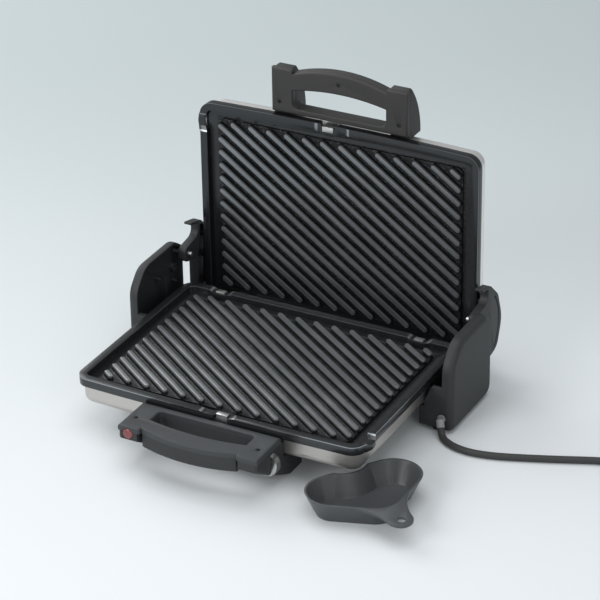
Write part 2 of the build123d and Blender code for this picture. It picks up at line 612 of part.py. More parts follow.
def cap_screw(x, y):
    """Adds a countersunk screw that holds a handle's cap to its base."""
    top = HANDLE_TOP_Z - CAP_SCREW_SUNK
    head_deep = CAP_SCREW_HEAD - SCREW_RADIUS
    with Locations((x, y, top - head_deep / 2)):
        Cone(SCREW_RADIUS - RUNNING_FIT, CAP_SCREW_HEAD - 4 * RUNNING_FIT, head_deep)
    with Locations((x, y, top - head_deep)):
        Cylinder(SCREW_RADIUS - RUNNING_FIT, SCREW_LONG / 2 + HANDLE_TOP_Z - HANDLE_SPLIT_Z - 3,
                 align=(Align.CENTER, Align.CENTER, Align.MAX))


def screw_recess(x, y):
    """Cuts the cross slot of a cap screw."""
    with Locations((x, y, HANDLE_TOP_Z - CAP_SCREW_SUNK)):
        Box(CROSS_SLOT, CROSS_SLOT_WIDE, 2 * CROSS_SLOT_WIDE, mode=Mode.SUBTRACT)
        Box(CROSS_SLOT_WIDE, CROSS_SLOT, 2 * CROSS_SLOT_WIDE, mode=Mode.SUBTRACT)


with BuildPart() as lower_screws:
    for screw_x, screw_y in LOWER_CAP_SCREWS:
        cap_screw(screw_x, screw_y)
        screw_recess(screw_x, screw_y)
keep(lower_screws.part, "lower_handle_screws")

with BuildPart() as upper_screws:
    for screw_x, screw_y in UPPER_CAP_SCREWS:
        cap_screw(screw_x, screw_y)
        screw_recess(screw_x, screw_y)
keep(turned_over(upper_screws.part), "upper_handle_screws", on_lid=True)

BOLT_HEAD_HIGH = 2.4


def wall_bolts():
    """Adds the two bolts that hold a handle to the shell's front wall."""
    wall_y = SHELL_FRONT + SHEET - PLATE_BOW * (1 - (SCREW_X / SHELL_HALF_X) ** 2) + 0.2
    for bolt_x in (-SCREW_X, SCREW_X):
        with Locations(along_y(bolt_x, wall_y, BOLT_Z)):
            Cylinder(SCREW_RADIUS - RUNNING_FIT, SCREW_LONG, align=(Align.CENTER, Align.CENTER, Align.MIN))
            Cylinder(SCREW_HEAD, BOLT_HEAD_HIGH, align=(Align.CENTER, Align.CENTER, Align.MAX))


with BuildPart() as lower_bolts:
    wall_bolts()
    for bolt_x in (-SCREW_X, SCREW_X):
        with Locations((bolt_x, LEG_BOLT_Y, SHELL_FLOOR)):
            Cylinder(SCREW_HEAD, BOLT_HEAD_HIGH, align=(Align.CENTER, Align.CENTER, Align.MIN))
            Cylinder(SCREW_RADIUS - RUNNING_FIT, SCREW_LONG, align=(Align.CENTER, Align.CENTER, Align.MAX))
keep(lower_bolts.part, "lower_handle_bolts")
with BuildPart() as upper_bolts:
    wall_bolts()
keep(turned_over(upper_bolts.part), "upper_handle_bolts", on_lid=True)

# Thermostat: knurled wheel and spindle in the right tower, switch block inside the shell
with BuildPart() as wheel:
    with Locations(along_y(WHEEL_X, WHEEL_MID_Y, WHEEL_Z)):
        Cylinder(WHEEL_RADIUS - WHEEL_TOOTH, WHEEL_THICK)
    with Locations(along_y(WHEEL_X, WHEEL_MID_Y, WHEEL_Z)):
        with PolarLocations(WHEEL_RADIUS - WHEEL_TOOTH, WHEEL_TEETH):
            Box(2 * WHEEL_TOOTH, WHEEL_TOOTH, WHEEL_THICK)
        Cylinder(SPINDLE_RADIUS, WHEEL_THICK, mode=Mode.SUBTRACT)
keep(wheel.part, "thermostat_wheel")

with BuildPart() as spindle:
    with BuildSketch(Plane.XZ.offset(-THERMOSTAT_FRONT)):
        with Locations((WHEEL_X, WHEEL_Z)):
            Circle(SPINDLE_RADIUS)
    extrude(amount=THERMOSTAT_FRONT - WHEEL_BACK + WHEEL_THICK)
keep(spindle.part, "thermostat_spindle")

with BuildPart() as thermostat:
    with Locations((WHEEL_X, THERMOSTAT_FRONT + THERMOSTAT_DEEP / 2 + SEAT_GAP, SHELL_FLOOR)):
        Box(THERMOSTAT_WIDE, THERMOSTAT_DEEP, THERMOSTAT_HIGH, align=(Align.CENTER, Align.CENTER, Align.MIN))
keep(thermostat.part, "thermostat")

# Pilot lamp behind its red lens in the left tower
with BuildPart() as lens:
    with BuildSketch(Plane.XZ.offset(-LENS_BACK)):
        with Locations((LENS_X, LENS_Z)):
            Circle(LENS_RADIUS)
    extrude(amount=LENS_DEEP)
    fillet(lens.faces().sort_by(Axis.Y)[0].edges(), LENS_RADIUS / 3)
keep(lens.part, "pilot_lens")
with BuildPart() as lamp:
    with BuildSketch(Plane.XZ.offset(-LENS_BACK - LAMP_DEEP)):
        with Locations((LENS_X, LENS_Z)):
            Circle(LAMP_RADIUS)
    extrude(amount=LAMP_DEEP)
keep(lamp.part, "pilot_lamp")

# Plate catch: a sliding steel clip whose lip holds the plate's front edge down
CATCH_TOP_Z = RIM_TOP_Z - NOTCH_DROP + 0.2 + CATCH_SHEET
CATCH_FOOT_Z = 36.5
CATCH_LIP = 6.0
CATCH_TONGUE = 14.0
with BuildPart() as catch:
    with BuildSketch(Plane.YZ.offset(CATCH_X - CATCH_HALF)):
        with Locations((CATCH_BACK, CATCH_FOOT_Z)):
            Rectangle(CATCH_SHEET, CATCH_TOP_Z - CATCH_FOOT_Z, align=(Align.MAX, Align.MIN))
        with Locations((CATCH_BACK - CATCH_SHEET, CATCH_TOP_Z)):
            Rectangle(CATCH_LIP, CATCH_SHEET, align=(Align.MIN, Align.MAX))
    extrude(amount=2 * CATCH_HALF)
    with BuildSketch(Plane.XY.offset(CATCH_SLOT_Z - CATCH_SHEET / 2)):
        with Locations((CATCH_X, CATCH_BACK)):
            Rectangle(2 * CATCH_SLOT_HALF, CATCH_TONGUE, align=(Align.CENTER, Align.MIN))
    extrude(amount=CATCH_SHEET)
keep(catch.part, "lower_plate_catch")
keep(turned_over(catch.part), "upper_plate_catch", on_lid=True)

# Fixed steel hooks that hold the plate's back edge
HOOK_FOOT_Z = 38.0
HOOK_LIP = 5.5
HOOK_BACK = SHELL_BACK + 0.1 + CATCH_SHEET
with BuildPart() as hooks:
    for side in (-1, 1):
        with BuildSketch(Plane.YZ.offset(side * HOOK_X - HOOK_HALF)):
            with Locations((HOOK_BACK, HOOK_FOOT_Z)):
                Rectangle(CATCH_SHEET, CATCH_TOP_Z - HOOK_FOOT_Z, align=(Align.MAX, Align.MIN))
            with Locations((HOOK_BACK, CATCH_TOP_Z)):
                Rectangle(HOOK_LIP + CATCH_SHEET, CATCH_SHEET, align=(Align.MAX, Align.MAX))
        extrude(amount=2 * HOOK_HALF)
keep(hooks.part, "lower_plate_hooks")
keep(turned_over(hooks.part), "upper_plate_hooks", on_lid=True)


# Side covers: a box beside the base and a hollow wing that the lid's arm swings behind
def cover_profile(inset=0.0):
    """The side view of a cover, shrunk by a wall where asked."""
    with BuildSketch() as profile:
        with BuildLine():
            FilletPolyline(
                (COVER_FRONT, FOOT_HEIGHT), (COVER_FRONT, COVER_TOP - 23), (COVER_FRONT + 20, COVER_TOP - 1),
                (COVER_BACK - 15, COVER_TOP), (COVER_BACK, COVER_TOP - 10.5), (COVER_BACK, FOOT_HEIGHT),
                radius=[9, 26, 24, 12, 8, 14], close=True)
        make_face()
        if inset:
            offset(amount=-inset, mode=Mode.REPLACE)
    return profile.sketch


STRAP_SLOT_INNER_X = BRACKET_INNER_X + BRACKET_THICK + 0.7
STRAP_SLOT_OUTER_X = STRAP_INNER_X + STRAP_THICK + 6.0
STRAP_SLOT_FRONT = -STRAP_WIDTH - 5.0
STRAP_SLOT_FLOOR = 17.0
BRACKET_CLEAR = 0.8
SCREW_SEAT = 1.0
FLANGE_OUT = 14.0
COVER_SCREWS_Y = (-24.0, -52.0)
COVER_SCREW_X = BRACKET_INNER_X + BRACKET_THICK + FLANGE_OUT / 2


WING_RING = (8.0, 68.0)
WING_RING_RADIUS = 5.0
WING_RING_HIGH = 6.0
WING_PEGS = ((-26.0, 69.0), (10.0, 50.0))
WING_PEG_RADIUS = 2.0
WING_RAIL_Y = -12.0
WING_RAIL_TOP = 64.0


def front_post():
    """The post at a cover's front, leaning back from the toe and away from the plate's rim."""
    with BuildPart() as post:
        with BuildSketch(Plane.YZ.offset(POST_INNER_X)):
            with BuildLine():
                Polyline((COVER_FRONT, BOX_TOP), (COVER_FRONT, POST_TOP), (COVER_FRONT + POST_THICK, POST_TOP),
                         (COVER_FRONT + POST_FOOT_THICK, BOX_TOP + COVER_WALL),
                         (COVER_FRONT + POST_FOOT_THICK, BOX_TOP), close=True)
            make_face()
        extrude(amount=WING_INNER_X - POST_INNER_X)
        with BuildSketch(Plane.XZ.offset(-COVER_FRONT)):
            with BuildLine():
                Polyline((POST_INNER_X, POST_SLOPE_FROM), (POST_INNER_X + POST_SLOPE_RUN, POST_TOP),
                         (POST_INNER_X, POST_TOP), close=True)
            make_face()
        extrude(amount=-2 * POST_FOOT_THICK, mode=Mode.SUBTRACT)
    return post.part


def side_cover():
    """The right-hand cover without its lead hole."""
    with BuildPart() as cover:
        with BuildSketch(Plane.YZ.offset(WING_INNER_X)):
            add(cover_profile())
        extrude(amount=COVER_OUTER_X - WING_INNER_X)
        fillet(cover.faces().sort_by(Axis.X)[-1].edges(), COVER_ROUND)
        with BuildSketch(Plane.YZ.offset(COVER_INNER_X)):
            add(cover_profile())
            with Locations(((COVER_FRONT + COVER_BACK) / 2, BOX_TOP)):
                Rectangle(2 * (COVER_BACK - COVER_FRONT), COVER_TOP, align=(Align.CENTER, Align.MIN),
                          mode=Mode.SUBTRACT)
        extrude(amount=WING_INNER_X - COVER_INNER_X)
        # Inside of the wing, open towards the lid's arm
        with BuildSketch(Plane.YZ.offset(WING_INNER_X - COVER_WALL)):
            add(cover_profile(COVER_RIM))
            with Locations(((COVER_FRONT + COVER_BACK) / 2, BOX_TOP)):
                Rectangle(2 * (COVER_BACK - COVER_FRONT), 2 * COVER_TOP, align=(Align.CENTER, Align.MAX),
                          mode=Mode.SUBTRACT)
        extrude(amount=COVER_OUTER_X - WING_INNER_X, mode=Mode.SUBTRACT)
        # Inside of the box
        with BuildSketch(Plane.YZ.offset(COVER_INNER_X + COVER_WALL)):
            add(cover_profile(COVER_RIM))
            with Locations(((COVER_FRONT + COVER_BACK) / 2, BOX_TOP - COVER_WALL)):
                Rectangle(2 * (COVER_BACK - COVER_FRONT), COVER_TOP, align=(Align.CENTER, Align.MIN),
                          mode=Mode.SUBTRACT)
        extrude(amount=COVER_OUTER_X - COVER_INNER_X - 2 * COVER_WALL, mode=Mode.SUBTRACT)
        # The wing and the box are one hollow where the wing stands over the box
        with BuildSketch(Plane.YZ.offset(WING_INNER_X)):
            with Locations(((COVER_FRONT + COVER_BACK) / 2, BOX_TOP)):
                Rectangle(COVER_BACK - COVER_FRONT - 2 * COVER_RIM, 3 * COVER_WALL)
        extrude(amount=COVER_OUTER_X - WING_INNER_X - COVER_WALL, mode=Mode.SUBTRACT)
        # Room for the steel bracket at the shell's side, and the slot that the lid's strap swings in
        with BuildSketch(Plane.XY.offset(BOX_TOP)):
            with Locations((COVER_INNER_X - 1, (COVER_FRONT + COVER_BACK) / 2)):
                Rectangle(BRACKET_INNER_X + BRACKET_THICK + BRACKET_CLEAR - COVER_INNER_X + 1,
                          COVER_BACK - COVER_FRONT - 2 * COVER_RIM, align=(Align.MIN, Align.CENTER))
        extrude(amount=-COVER_WALL, mode=Mode.SUBTRACT)
        with BuildSketch(Plane.XY.offset(BOX_TOP)):
            with Locations((STRAP_SLOT_INNER_X, STRAP_SLOT_FRONT)):
                Rectangle(STRAP_SLOT_OUTER_X - STRAP_SLOT_INNER_X, COVER_BACK - STRAP_SLOT_FRONT,
                          align=(Align.MIN, Align.MIN))
        extrude(amount=STRAP_SLOT_FLOOR - BOX_TOP, mode=Mode.SUBTRACT)
        # Front post beside the plate, where the lid's toe comes down behind
        add(front_post())
        # Ring, rail and two pegs inside the wing
        with BuildSketch(Plane.YZ.offset(COVER_OUTER_X - COVER_WALL)):
            with Locations(WING_RING):
                Circle(WING_RING_RADIUS)
                Circle(WING_RING_RADIUS / 2, mode=Mode.SUBTRACT)
            with Locations(*WING_PEGS):
                Circle(WING_PEG_RADIUS)
            with Locations((WING_RAIL_Y, BOX_TOP)):
                Rectangle(COVER_WALL, WING_RAIL_TOP - BOX_TOP, align=(Align.CENTER, Align.MIN))
        extrude(amount=-WING_RING_HIGH)
        # Seats for the two screws that come up from below
        with Locations(*[(COVER_SCREW_X, screw_y, FOOT_HEIGHT) for screw_y in COVER_SCREWS_Y]):
            Cylinder(SCREW_HEAD + LUG_CLEARANCE, 4 * SCREW_SEAT, mode=Mode.SUBTRACT)
            Cylinder(SCREW_RADIUS + RUNNING_FIT, 4 * COVER_RIM, mode=Mode.SUBTRACT)
    return cover.part


with BuildPart() as cover_right:
    add(side_cover())
    with Locations(along_y(GLAND_X, COVER_FRONT, GLAND_Z)):
        Cylinder(GLAND_RADIUS + RUNNING_FIT, 4 * COVER_RIM, mode=Mode.SUBTRACT)
keep(cover_right.part, "right_cover")
with BuildPart() as cover_left:
    mirror(side_cover(), about=Plane.YZ)
keep(cover_left.part, "left_cover")

# Hinge: a steel bracket on the base's side, a pivot pin, and a strap that carries the lid
BRACKET_FRONT = -70.0
BRACKET_BACK = 9.0
BRACKET_TOP = 49.0
BRACKET_FOOT = FOOT_HEIGHT + COVER_RIM
PIVOT_INNER_X = BRACKET_INNER_X - 2.0
PIVOT_HEAD_HIGH = 2.5
PIVOT_HEAD = 7.0
PIVOT_INNER_HEAD = 5.5
STRAP_KNEE = (-8.0, 74.0)
STRAP_TIP = (-69.0, 78.0)
BRACKET_LEAD_Y = -45.0
BRACKET_LEAD_Z = 12.0
LEAD_HOLE_RADIUS = 3.5

with BuildPart() as bracket:
    with BuildSketch(Plane.YZ.offset(BRACKET_INNER_X)):
        with BuildLine():
            FilletPolyline((BRACKET_FRONT, BRACKET_FOOT), (BRACKET_FRONT, BRACKET_TOP), (-18, BRACKET_TOP),
                           (BRACKET_BACK, HINGE_Z + 10), (BRACKET_BACK, BRACKET_FOOT),
                           radius=[2, 4, 8, 4, 6], close=True)
        make_face()
        with Locations((BRACKET_LEAD_Y, BRACKET_LEAD_Z)):
            Circle(LEAD_HOLE_RADIUS, mode=Mode.SUBTRACT)
        with Locations((0, HINGE_Z)):
            Circle(PIVOT_RADIUS + RUNNING_FIT, mode=Mode.SUBTRACT)
        with Locations(*[(rivet_y, RIVET_Z) for rivet_y in RIVETS_Y]):
            Circle(RIVET_RADIUS + RUNNING_FIT, mode=Mode.SUBTRACT)
    extrude(amount=BRACKET_THICK)
    with BuildSketch(Plane.XY.offset(BRACKET_FOOT)):
        with Locations((BRACKET_INNER_X + BRACKET_THICK, (COVER_SCREWS_Y[0] + COVER_SCREWS_Y[1]) / 2)):
            Rectangle(FLANGE_OUT, COVER_SCREWS_Y[0] - COVER_SCREWS_Y[1] + 14, align=(Align.MIN, Align.CENTER))
        with Locations(*[(COVER_SCREW_X, screw_y) for screw_y in COVER_SCREWS_Y]):
            Circle(SCREW_RADIUS + RUNNING_FIT, mode=Mode.SUBTRACT)
    extrude(amount=BRACKET_THICK)

with BuildPart() as pivot:
    with Locations(along_x(PIVOT_INNER_X, 0, HINGE_Z)):
        Cylinder(PIVOT_RADIUS, STRAP_INNER_X + STRAP_THICK + SEAT_GAP - PIVOT_INNER_X,
                 align=(Align.CENTER, Align.CENTER, Align.MIN))
        Cylinder(PIVOT_INNER_HEAD, BRACKET_INNER_X - PIVOT_INNER_X, align=(Align.CENTER, Align.CENTER, Align.MIN))
    with Locations(along_x(STRAP_INNER_X + STRAP_THICK + SEAT_GAP, 0, HINGE_Z)):
        Cylinder(PIVOT_HEAD, PIVOT_HEAD_HIGH, align=(Align.CENTER, Align.CENTER, Align.MIN))

with BuildPart() as bush:
    with BuildSketch(Plane.YZ.offset(BRACKET_INNER_X + BRACKET_THICK)):
        with Locations((0, HINGE_Z)):
            Circle(PIVOT_HEAD)
            Circle(PIVOT_RADIUS + RUNNING_FIT, mode=Mode.SUBTRACT)
    extrude(amount=STRAP_INNER_X - BRACKET_INNER_X - BRACKET_THICK - SEAT_GAP)

with BuildPart() as rivets:
    for rivet_y in RIVETS_Y:
        with Locations(along_x(SHELL_HALF_X - SHEET, rivet_y, RIVET_Z)):
            Cylinder(RIVET_RADIUS, SHEET + BRACKET_THICK, align=(Align.CENTER, Align.CENTER, Align.MIN))
            Cylinder(SCREW_HEAD, SHEET, align=(Align.CENTER, Align.CENTER, Align.MAX))
        with Locations(along_x(BRACKET_INNER_X + BRACKET_THICK, rivet_y, RIVET_Z)):
            Cylinder(SCREW_HEAD, SHEET, align=(Align.CENTER, Align.CENTER, Align.MIN))

with BuildPart() as strap:
    with BuildSketch(Plane.YZ.offset(STRAP_INNER_X)):
        bar_between((0, HINGE_Z), STRAP_KNEE, STRAP_WIDTH)
        bar_between(STRAP_KNEE, STRAP_TIP, STRAP_WIDTH)
        with Locations((0, HINGE_Z)):
            Circle(PIVOT_RADIUS + RUNNING_FIT, mode=Mode.SUBTRACT)
        with Locations(*[(lug_y, LUG_SCREW_Z) for lug_y in LUG_SCREWS_Y]):
            Circle(SCREW_RADIUS + RUNNING_FIT, mode=Mode.SUBTRACT)
    extrude(amount=STRAP_THICK)

# Lugs that space the strap off the lid's shell, with their screws into the pod
POD_BOSS_RADIUS = 4.0
POD_GROOVE = 1.6
with BuildPart() as lugs:
    with BuildSketch(Plane.YZ.offset(SHELL_HALF_X)):
        with Locations(*[(lug_y, LUG_SCREW_Z) for lug_y in LUG_SCREWS_Y]):
            Circle(POD_BOSS_RADIUS)
            Circle(SCREW_RADIUS + RUNNING_FIT, mode=Mode.SUBTRACT)
    extrude(amount=STRAP_INNER_X - SHELL_HALF_X)

with BuildPart() as lug_screws:
    for lug_y in LUG_SCREWS_Y:
        with Locations(along_x(SHELL_HALF_X - SHEET, lug_y, LUG_SCREW_Z)):
            Cylinder(SCREW_RADIUS, POD_INNER_X + 4 - SHELL_HALF_X + SHEET,
                     align=(Align.CENTER, Align.CENTER, Align.MIN))
            Cylinder(SCREW_HEAD, 2.4, align=(Align.CENTER, Align.CENTER, Align.MAX))

# Pod: the plastic arm cover with its hooked toe
with BuildPart() as pod:
    with BuildSketch(Plane.YZ.offset(POD_INNER_X)) as pod_face:
        with BuildLine():
            FilletPolyline((-95, 46), (-90, 67), (-72, 86), (-40, 97), (-8, 86), (-4, 66), (-12, 54), (-47, 54),
                           (-54, 30.5), (-69, 30.5), (-74, 60), (-89, 60), (-92, 46),
                           radius=[1, 10, 18, 34, 16, 10, 4, 6, 5, 5, 9, 2, 1], close=True)
        make_face()
    extrude(amount=POD_OUTER_X - POD_INNER_X)
    fillet(pod.faces().sort_by(Axis.X)[-1].edges(), 0.8)
    with BuildSketch(Plane.YZ.offset(POD_INNER_X)):
        with BuildLine():
            FilletPolyline((-85, 64), (-85, 69), (-71, 82), (-40, 92.5), (-12, 83), (-8.5, 67), (-14, 57.5),
                           (-49, 57.5), (-70, 64), radius=[1, 3, 14, 30, 12, 6, 2, 3, 3], close=True)
        make_face()
        with Locations(*[(lug_y, LUG_SCREW_Z) for lug_y in LUG_SCREWS_Y]):
            Circle(POD_BOSS_RADIUS, mode=Mode.SUBTRACT)
    extrude(amount=POD_OUTER_X - POD_INNER_X - POD_WALL, mode=Mode.SUBTRACT)
    for lug_y in LUG_SCREWS_Y:
        with Locations(along_x(POD_INNER_X, lug_y, LUG_SCREW_Z)):
            Cylinder(SCREW_RADIUS, 10, mode=Mode.SUBTRACT)
    with Locations(along_x(POD_INNER_X, TOE_PIN_Y, TOE_PIN_Z)):
        Cylinder(TOE_PIN_RADIUS + RUNNING_FIT, 4 * (POD_OUTER_X - POD_INNER_X), mode=Mode.SUBTRACT)
    # Groove that sets off a crescent along the outer edge
    with BuildSketch(Plane.YZ.offset(POD_OUTER_X)):
        with BuildLine():
            ThreePointArc((-74, 76), (-42, 87.5), (-12, 77))
        trace(line_width=POD_GROOVE)
    extrude(amount=-POD_GROOVE, mode=Mode.SUBTRACT)

with BuildPart() as toe_pin:
    with Locations(along_x(TOE_PIN_INNER_X, TOE_PIN_Y, TOE_PIN_Z)):
        Cylinder(TOE_PIN_RADIUS, TOE_PIN_OUTER_X - TOE_PIN_INNER_X,
                 align=(Align.CENTER, Align.CENTER, Align.MIN))

with BuildPart() as cover_screws:
    for screw_y in COVER_SCREWS_Y:
        with Locations((COVER_SCREW_X, screw_y, FOOT_HEIGHT + LUG_CLEARANCE)):
            Cylinder(SCREW_HEAD, 2 * SCREW_SEAT - LUG_CLEARANCE, align=(Align.CENTER, Align.CENTER, Align.MIN))
            Cylinder(SCREW_RADIUS, SCREW_LONG / 2 + 2, align=(Align.CENTER, Align.CENTER, Align.MIN))

FEET_X = (COVER_INNER_X + COVER_OUTER_X) / 2
FEET_Y = (COVER_FRONT + FOOT_RADIUS + 4, COVER_BACK - FOOT_RADIUS - 14)
with BuildPart() as cover_feet:
    with BuildSketch():
        with Locations(*[(FEET_X, foot_y) for foot_y in FEET_Y]):
            Circle(FOOT_RADIUS)
    extrude(amount=FOOT_HEIGHT)

with BuildPart() as leg_feet:
    with BuildSketch():
        with Locations(((HANDLE_HALF_X + LEG_INNER_X) / 2, (LEG_BACK + TOWER_FOOT_FRONT) / 2)):
            Circle(FOOT_RADIUS)
    extrude(amount=FOOT_HEIGHT)


def both_sides(part):
    """A piece and its mirror image on the other side, as one group."""
    with BuildPart() as pair:
        add(part)
        mirror(part, about=Plane.YZ)
    return pair.part


for right_piece, piece_name, piece_on_lid in (
    (bracket, "hinge_bracket", False), (strap, "lid_strap", True), (pod, "lid_arm", True),
):
    keep(right_piece.part, f"right_{piece_name}", piece_on_lid)
    with BuildPart() as left_piece:
        mirror(right_piece.part, about=Plane.YZ)
    keep(left_piece.part, f"left_{piece_name}", piece_on_lid)
for right_piece, piece_name, piece_on_lid in (
    (pivot, "pivot_pins", False), (bush, "pivot_bushes", False), (rivets, "bracket_rivets", False),
    (cover_screws, "cover_screws", False), (cover_feet, "rear_feet", False), (leg_feet, "front_feet", False),
    (lugs, "lid_lugs", True), (lug_screws, "lug_screws", True), (toe_pin, "toe_pins", True),
):
    keep(both_sides(right_piece.part), piece_name, piece_on_lid)

# Drip cup, heart-shaped, that stands loose on the table beside the base
def cup_outline():
    """The cup's hollow seen from above: two lobes, a notch between them and a round nose along +X."""
    with BuildSketch() as outline:
        with Locations((0, -CUP_LOBE_OFFSET), (0, CUP_LOBE_OFFSET)):
            Circle(CUP_LOBE_RADIUS)
        with Locations((CUP_NOSE_AT, 0)):
            Circle(CUP_NOSE_RADIUS)
        make_hull()
        with Locations((CUP_NOTCH_AT - CUP_NOTCH_RADIUS, 0)):
            Circle(CUP_NOTCH_RADIUS, mode=Mode.SUBTRACT)
        fillet(outline.vertices().sort_by(Axis.X)[0:2], CUP_NOTCH_ROUND)
    return outline.sketch


with BuildPart() as cup:
    with BuildSketch(Plane.XY.offset(CUP_HEIGHT)):
        add(cup_outline())
    extrude(amount=-CUP_HEIGHT, taper=CUP_TAPER)
    # Flat tongue at rim height, narrowing to a round tab
    with BuildSketch(Plane.XY.offset(CUP_HEIGHT - CUP_TAB_THICK)):
        with BuildLine():
            Line((CUP_TONGUE_FROM, -CUP_TONGUE_HALF), (CUP_TONGUE_FROM, CUP_TONGUE_HALF))
            ThreePointArc((CUP_TONGUE_FROM, CUP_TONGUE_HALF), (CUP_WAIST_AT, CUP_WAIST_HALF),
                          (CUP_TAB_AT, CUP_TAB_RADIUS))
            ThreePointArc((CUP_TAB_AT, CUP_TAB_RADIUS), (CUP_TAB_AT + CUP_TAB_RADIUS, 0),
                          (CUP_TAB_AT, -CUP_TAB_RADIUS))
            ThreePointArc((CUP_TAB_AT, -CUP_TAB_RADIUS), (CUP_WAIST_AT, -CUP_WAIST_HALF),
                          (CUP_TONGUE_FROM, -CUP_TONGUE_HALF))
        make_face()
    extrude(amount=CUP_TAB_THICK)
    with BuildSketch(Plane.XY.offset(CUP_HEIGHT)):
        offset(cup_outline(), amount=-CUP_WALL)
    extrude(amount=-(CUP_HEIGHT - CUP_WALL), taper=CUP_TAPER, mode=Mode.SUBTRACT)
    with Locations((CUP_HOLE_AT, 0, CUP_HEIGHT)):
        Cylinder(CUP_HOLE_RADIUS, 4 * CUP_TAB_THICK, mode=Mode.SUBTRACT)
keep(cup.part.moved(Location((CUP_X, CUP_Y, 0), (0, 0, CUP_TURN))), "drip_cup")

# Mains lead: strain relief, run along the table, put-away coil with its tie, tail and plug
LEAD_RUNS = (
    (2.3, -6.5, 10.5), (5.5, -11.0, CORD_RADIUS), (13.2, -18.0, CORD_RADIUS), (27.0, -24.8, CORD_RADIUS),
    (44.0, -27.0, CORD_RADIUS), (64.0, -24.0, CORD_RADIUS), (86.0, -17.0, CORD_RADIUS),
    (129.0, 0.0, CORD_RADIUS), (170.0, 18.0, CORD_RADIUS), (202.0, 26.0, CORD_RADIUS + COIL_LIFT),
    (233.0, 26.0, CORD_RADIUS + COIL_LIFT),
)
CORD_ROUTE = [(GLAND_X + run_x, COVER_FRONT + run_y, height) for run_x, run_y, height in LEAD_RUNS]
COIL_X = CORD_ROUTE[-1][0]
COIL_Y = CORD_ROUTE[-1][1] + COIL_RADIUS
COIL_LOW_Z = CORD_RADIUS + COIL_LIFT
COIL_HIGH_Z = COIL_LOW_Z + COIL_LAYER
COIL_END_Y = COIL_Y - COIL_RADIUS - COIL_PITCH / 2
TAIL_ROUTE = (
    (COIL_X + 2 * CORD_RADIUS, COIL_END_Y, COIL_HIGH_Z), (COIL_X + 26, COIL_END_Y, COIL_HIGH_Z),
    (COIL_X + 46, COIL_END_Y + 9, PLUG_RADIUS), (COIL_X + 64, COIL_END_Y + 20, PLUG_RADIUS),
)


def corner_radii(points):
    """Bend radii for a lead's route: gentle, and within the shorter run at each corner."""
    radii = []
    for before, corner, after in zip(points, points[1:], points[2:]):
        arriving = Vector(*corner) - Vector(*before)
        leaving = Vector(*after) - Vector(*corner)
        turn = radians(arriving.get_angle(leaving))
        radii.append(0.45 * min(arriving.length, leaving.length) / tan(turn / 2))
    return radii


def report_lead(name, path, tube):
    """Prints a lead's length and how its volume compares with section times length."""
    length = sum(edge.length for edge in path.edges())
    share = tube.part.volume / (length * pi * CORD_RADIUS ** 2)
    print(name, "length", round(length), "volume share", round(share, 3))


def lead(points):
    """A round lead along a route of straight runs joined by tangent arcs."""
    radii = corner_radii(points)
    print("lead radii", [round(radius, 1) for radius in radii])
    with BuildPart() as tube:
        with BuildLine() as path:
            FilletPolyline(*points, radius=radii)
        with BuildSketch(Plane(origin=path.line @ 0, z_dir=path.line % 0)):
            Circle(CORD_RADIUS)
        sweep()
    report_lead("lead", path, tube)
    return tube.part


keep(lead(CORD_ROUTE), "cord_run")
keep(lead(TAIL_ROUTE), "cord_tail")


def coil_stations():
    """The coil's centre line every half turn: in two turns below, out two turns above."""
    step = COIL_PITCH / 2
    radii = [COIL_RADIUS - step * row for row in range(4)]
    radii += [radii[-1] + step * row for row in range(5)]
    heights = [COIL_LOW_Z] * 4 + [COIL_HIGH_Z] * 5
    stations = []
    for row, (radius, height) in enumerate(zip(radii, heights)):
        side = -1 if row % 2 == 0 else 1
        stations.append((Vector(COIL_X, COIL_Y + side * radius, height), Vector(-side, 0, 0)))
    return stations


def biarc(start, start_way, end, end_way):
    """Two tangent arcs between two points with given directions."""
    chord = end - start
    both = start_way + end_way
    along = chord.dot(both)
    if abs(4 - both.length ** 2) < 1e-9:
        reach = chord.length ** 2 / (2 * along)
    else:
        spare = 4 - both.length ** 2
        reach = (-along + sqrt(along ** 2 + spare * chord.length ** 2)) / spare
    middle = (start + start_way * reach + end - end_way * reach) * 0.5
    first = TangentArc(start, middle, tangent=start_way)
    second = TangentArc(middle, end, tangent=first % 1)
    return [first, second]


with BuildPart() as coil:
    with BuildLine() as coil_path:
        stations = coil_stations()
        arcs = []
        for (here, way), (there, next_way) in zip(stations, stations[1:]):
            arcs += biarc(here, way, there, next_way)
        Line(stations[-1][0], stations[-1][0] + stations[-1][1] * 2 * CORD_RADIUS)
    with BuildSketch(Plane(origin=coil_path.line @ 0, z_dir=coil_path.line % 0)):
        Circle(CORD_RADIUS)
    sweep()
keep(coil.part, "cord_coil")
report_lead("coil", coil_path, coil)
samples = [arc @ (count / 60) for arc in arcs for count in range(60)]
apart = sum(arc.length for arc in arcs) / len(samples)
skip = int(6 * CORD_RADIUS / apart)
least = min((here - there).length for row, here in enumerate(samples) for there in samples[row + skip:])
print("coil least gap to itself", round(least - 2 * CORD_RADIUS, 2))

TIE_GAP = 0.4
TIE_MID_RADIUS = COIL_RADIUS - 3 * COIL_PITCH / 4
with BuildPart() as tie:
    with BuildSketch(Plane.XZ.offset(-COIL_Y - TIE_WIDTH / 2)):
        with Locations((COIL_X + TIE_MID_RADIUS, (COIL_LOW_Z + COIL_HIGH_Z) / 2)):
            inner_wide = COIL_PITCH + 2 * CORD_RADIUS + 2 * TIE_GAP
            inner_high = COIL_LAYER + 2 * CORD_RADIUS + 2 * TIE_GAP
            RectangleRounded(inner_wide + 2 * TIE_SHEET, inner_high + 2 * TIE_SHEET, 3)
            RectangleRounded(inner_wide, inner_high, 2.2, mode=Mode.SUBTRACT)
    extrude(amount=TIE_WIDTH)
keep(tie.part, "cord_tie")

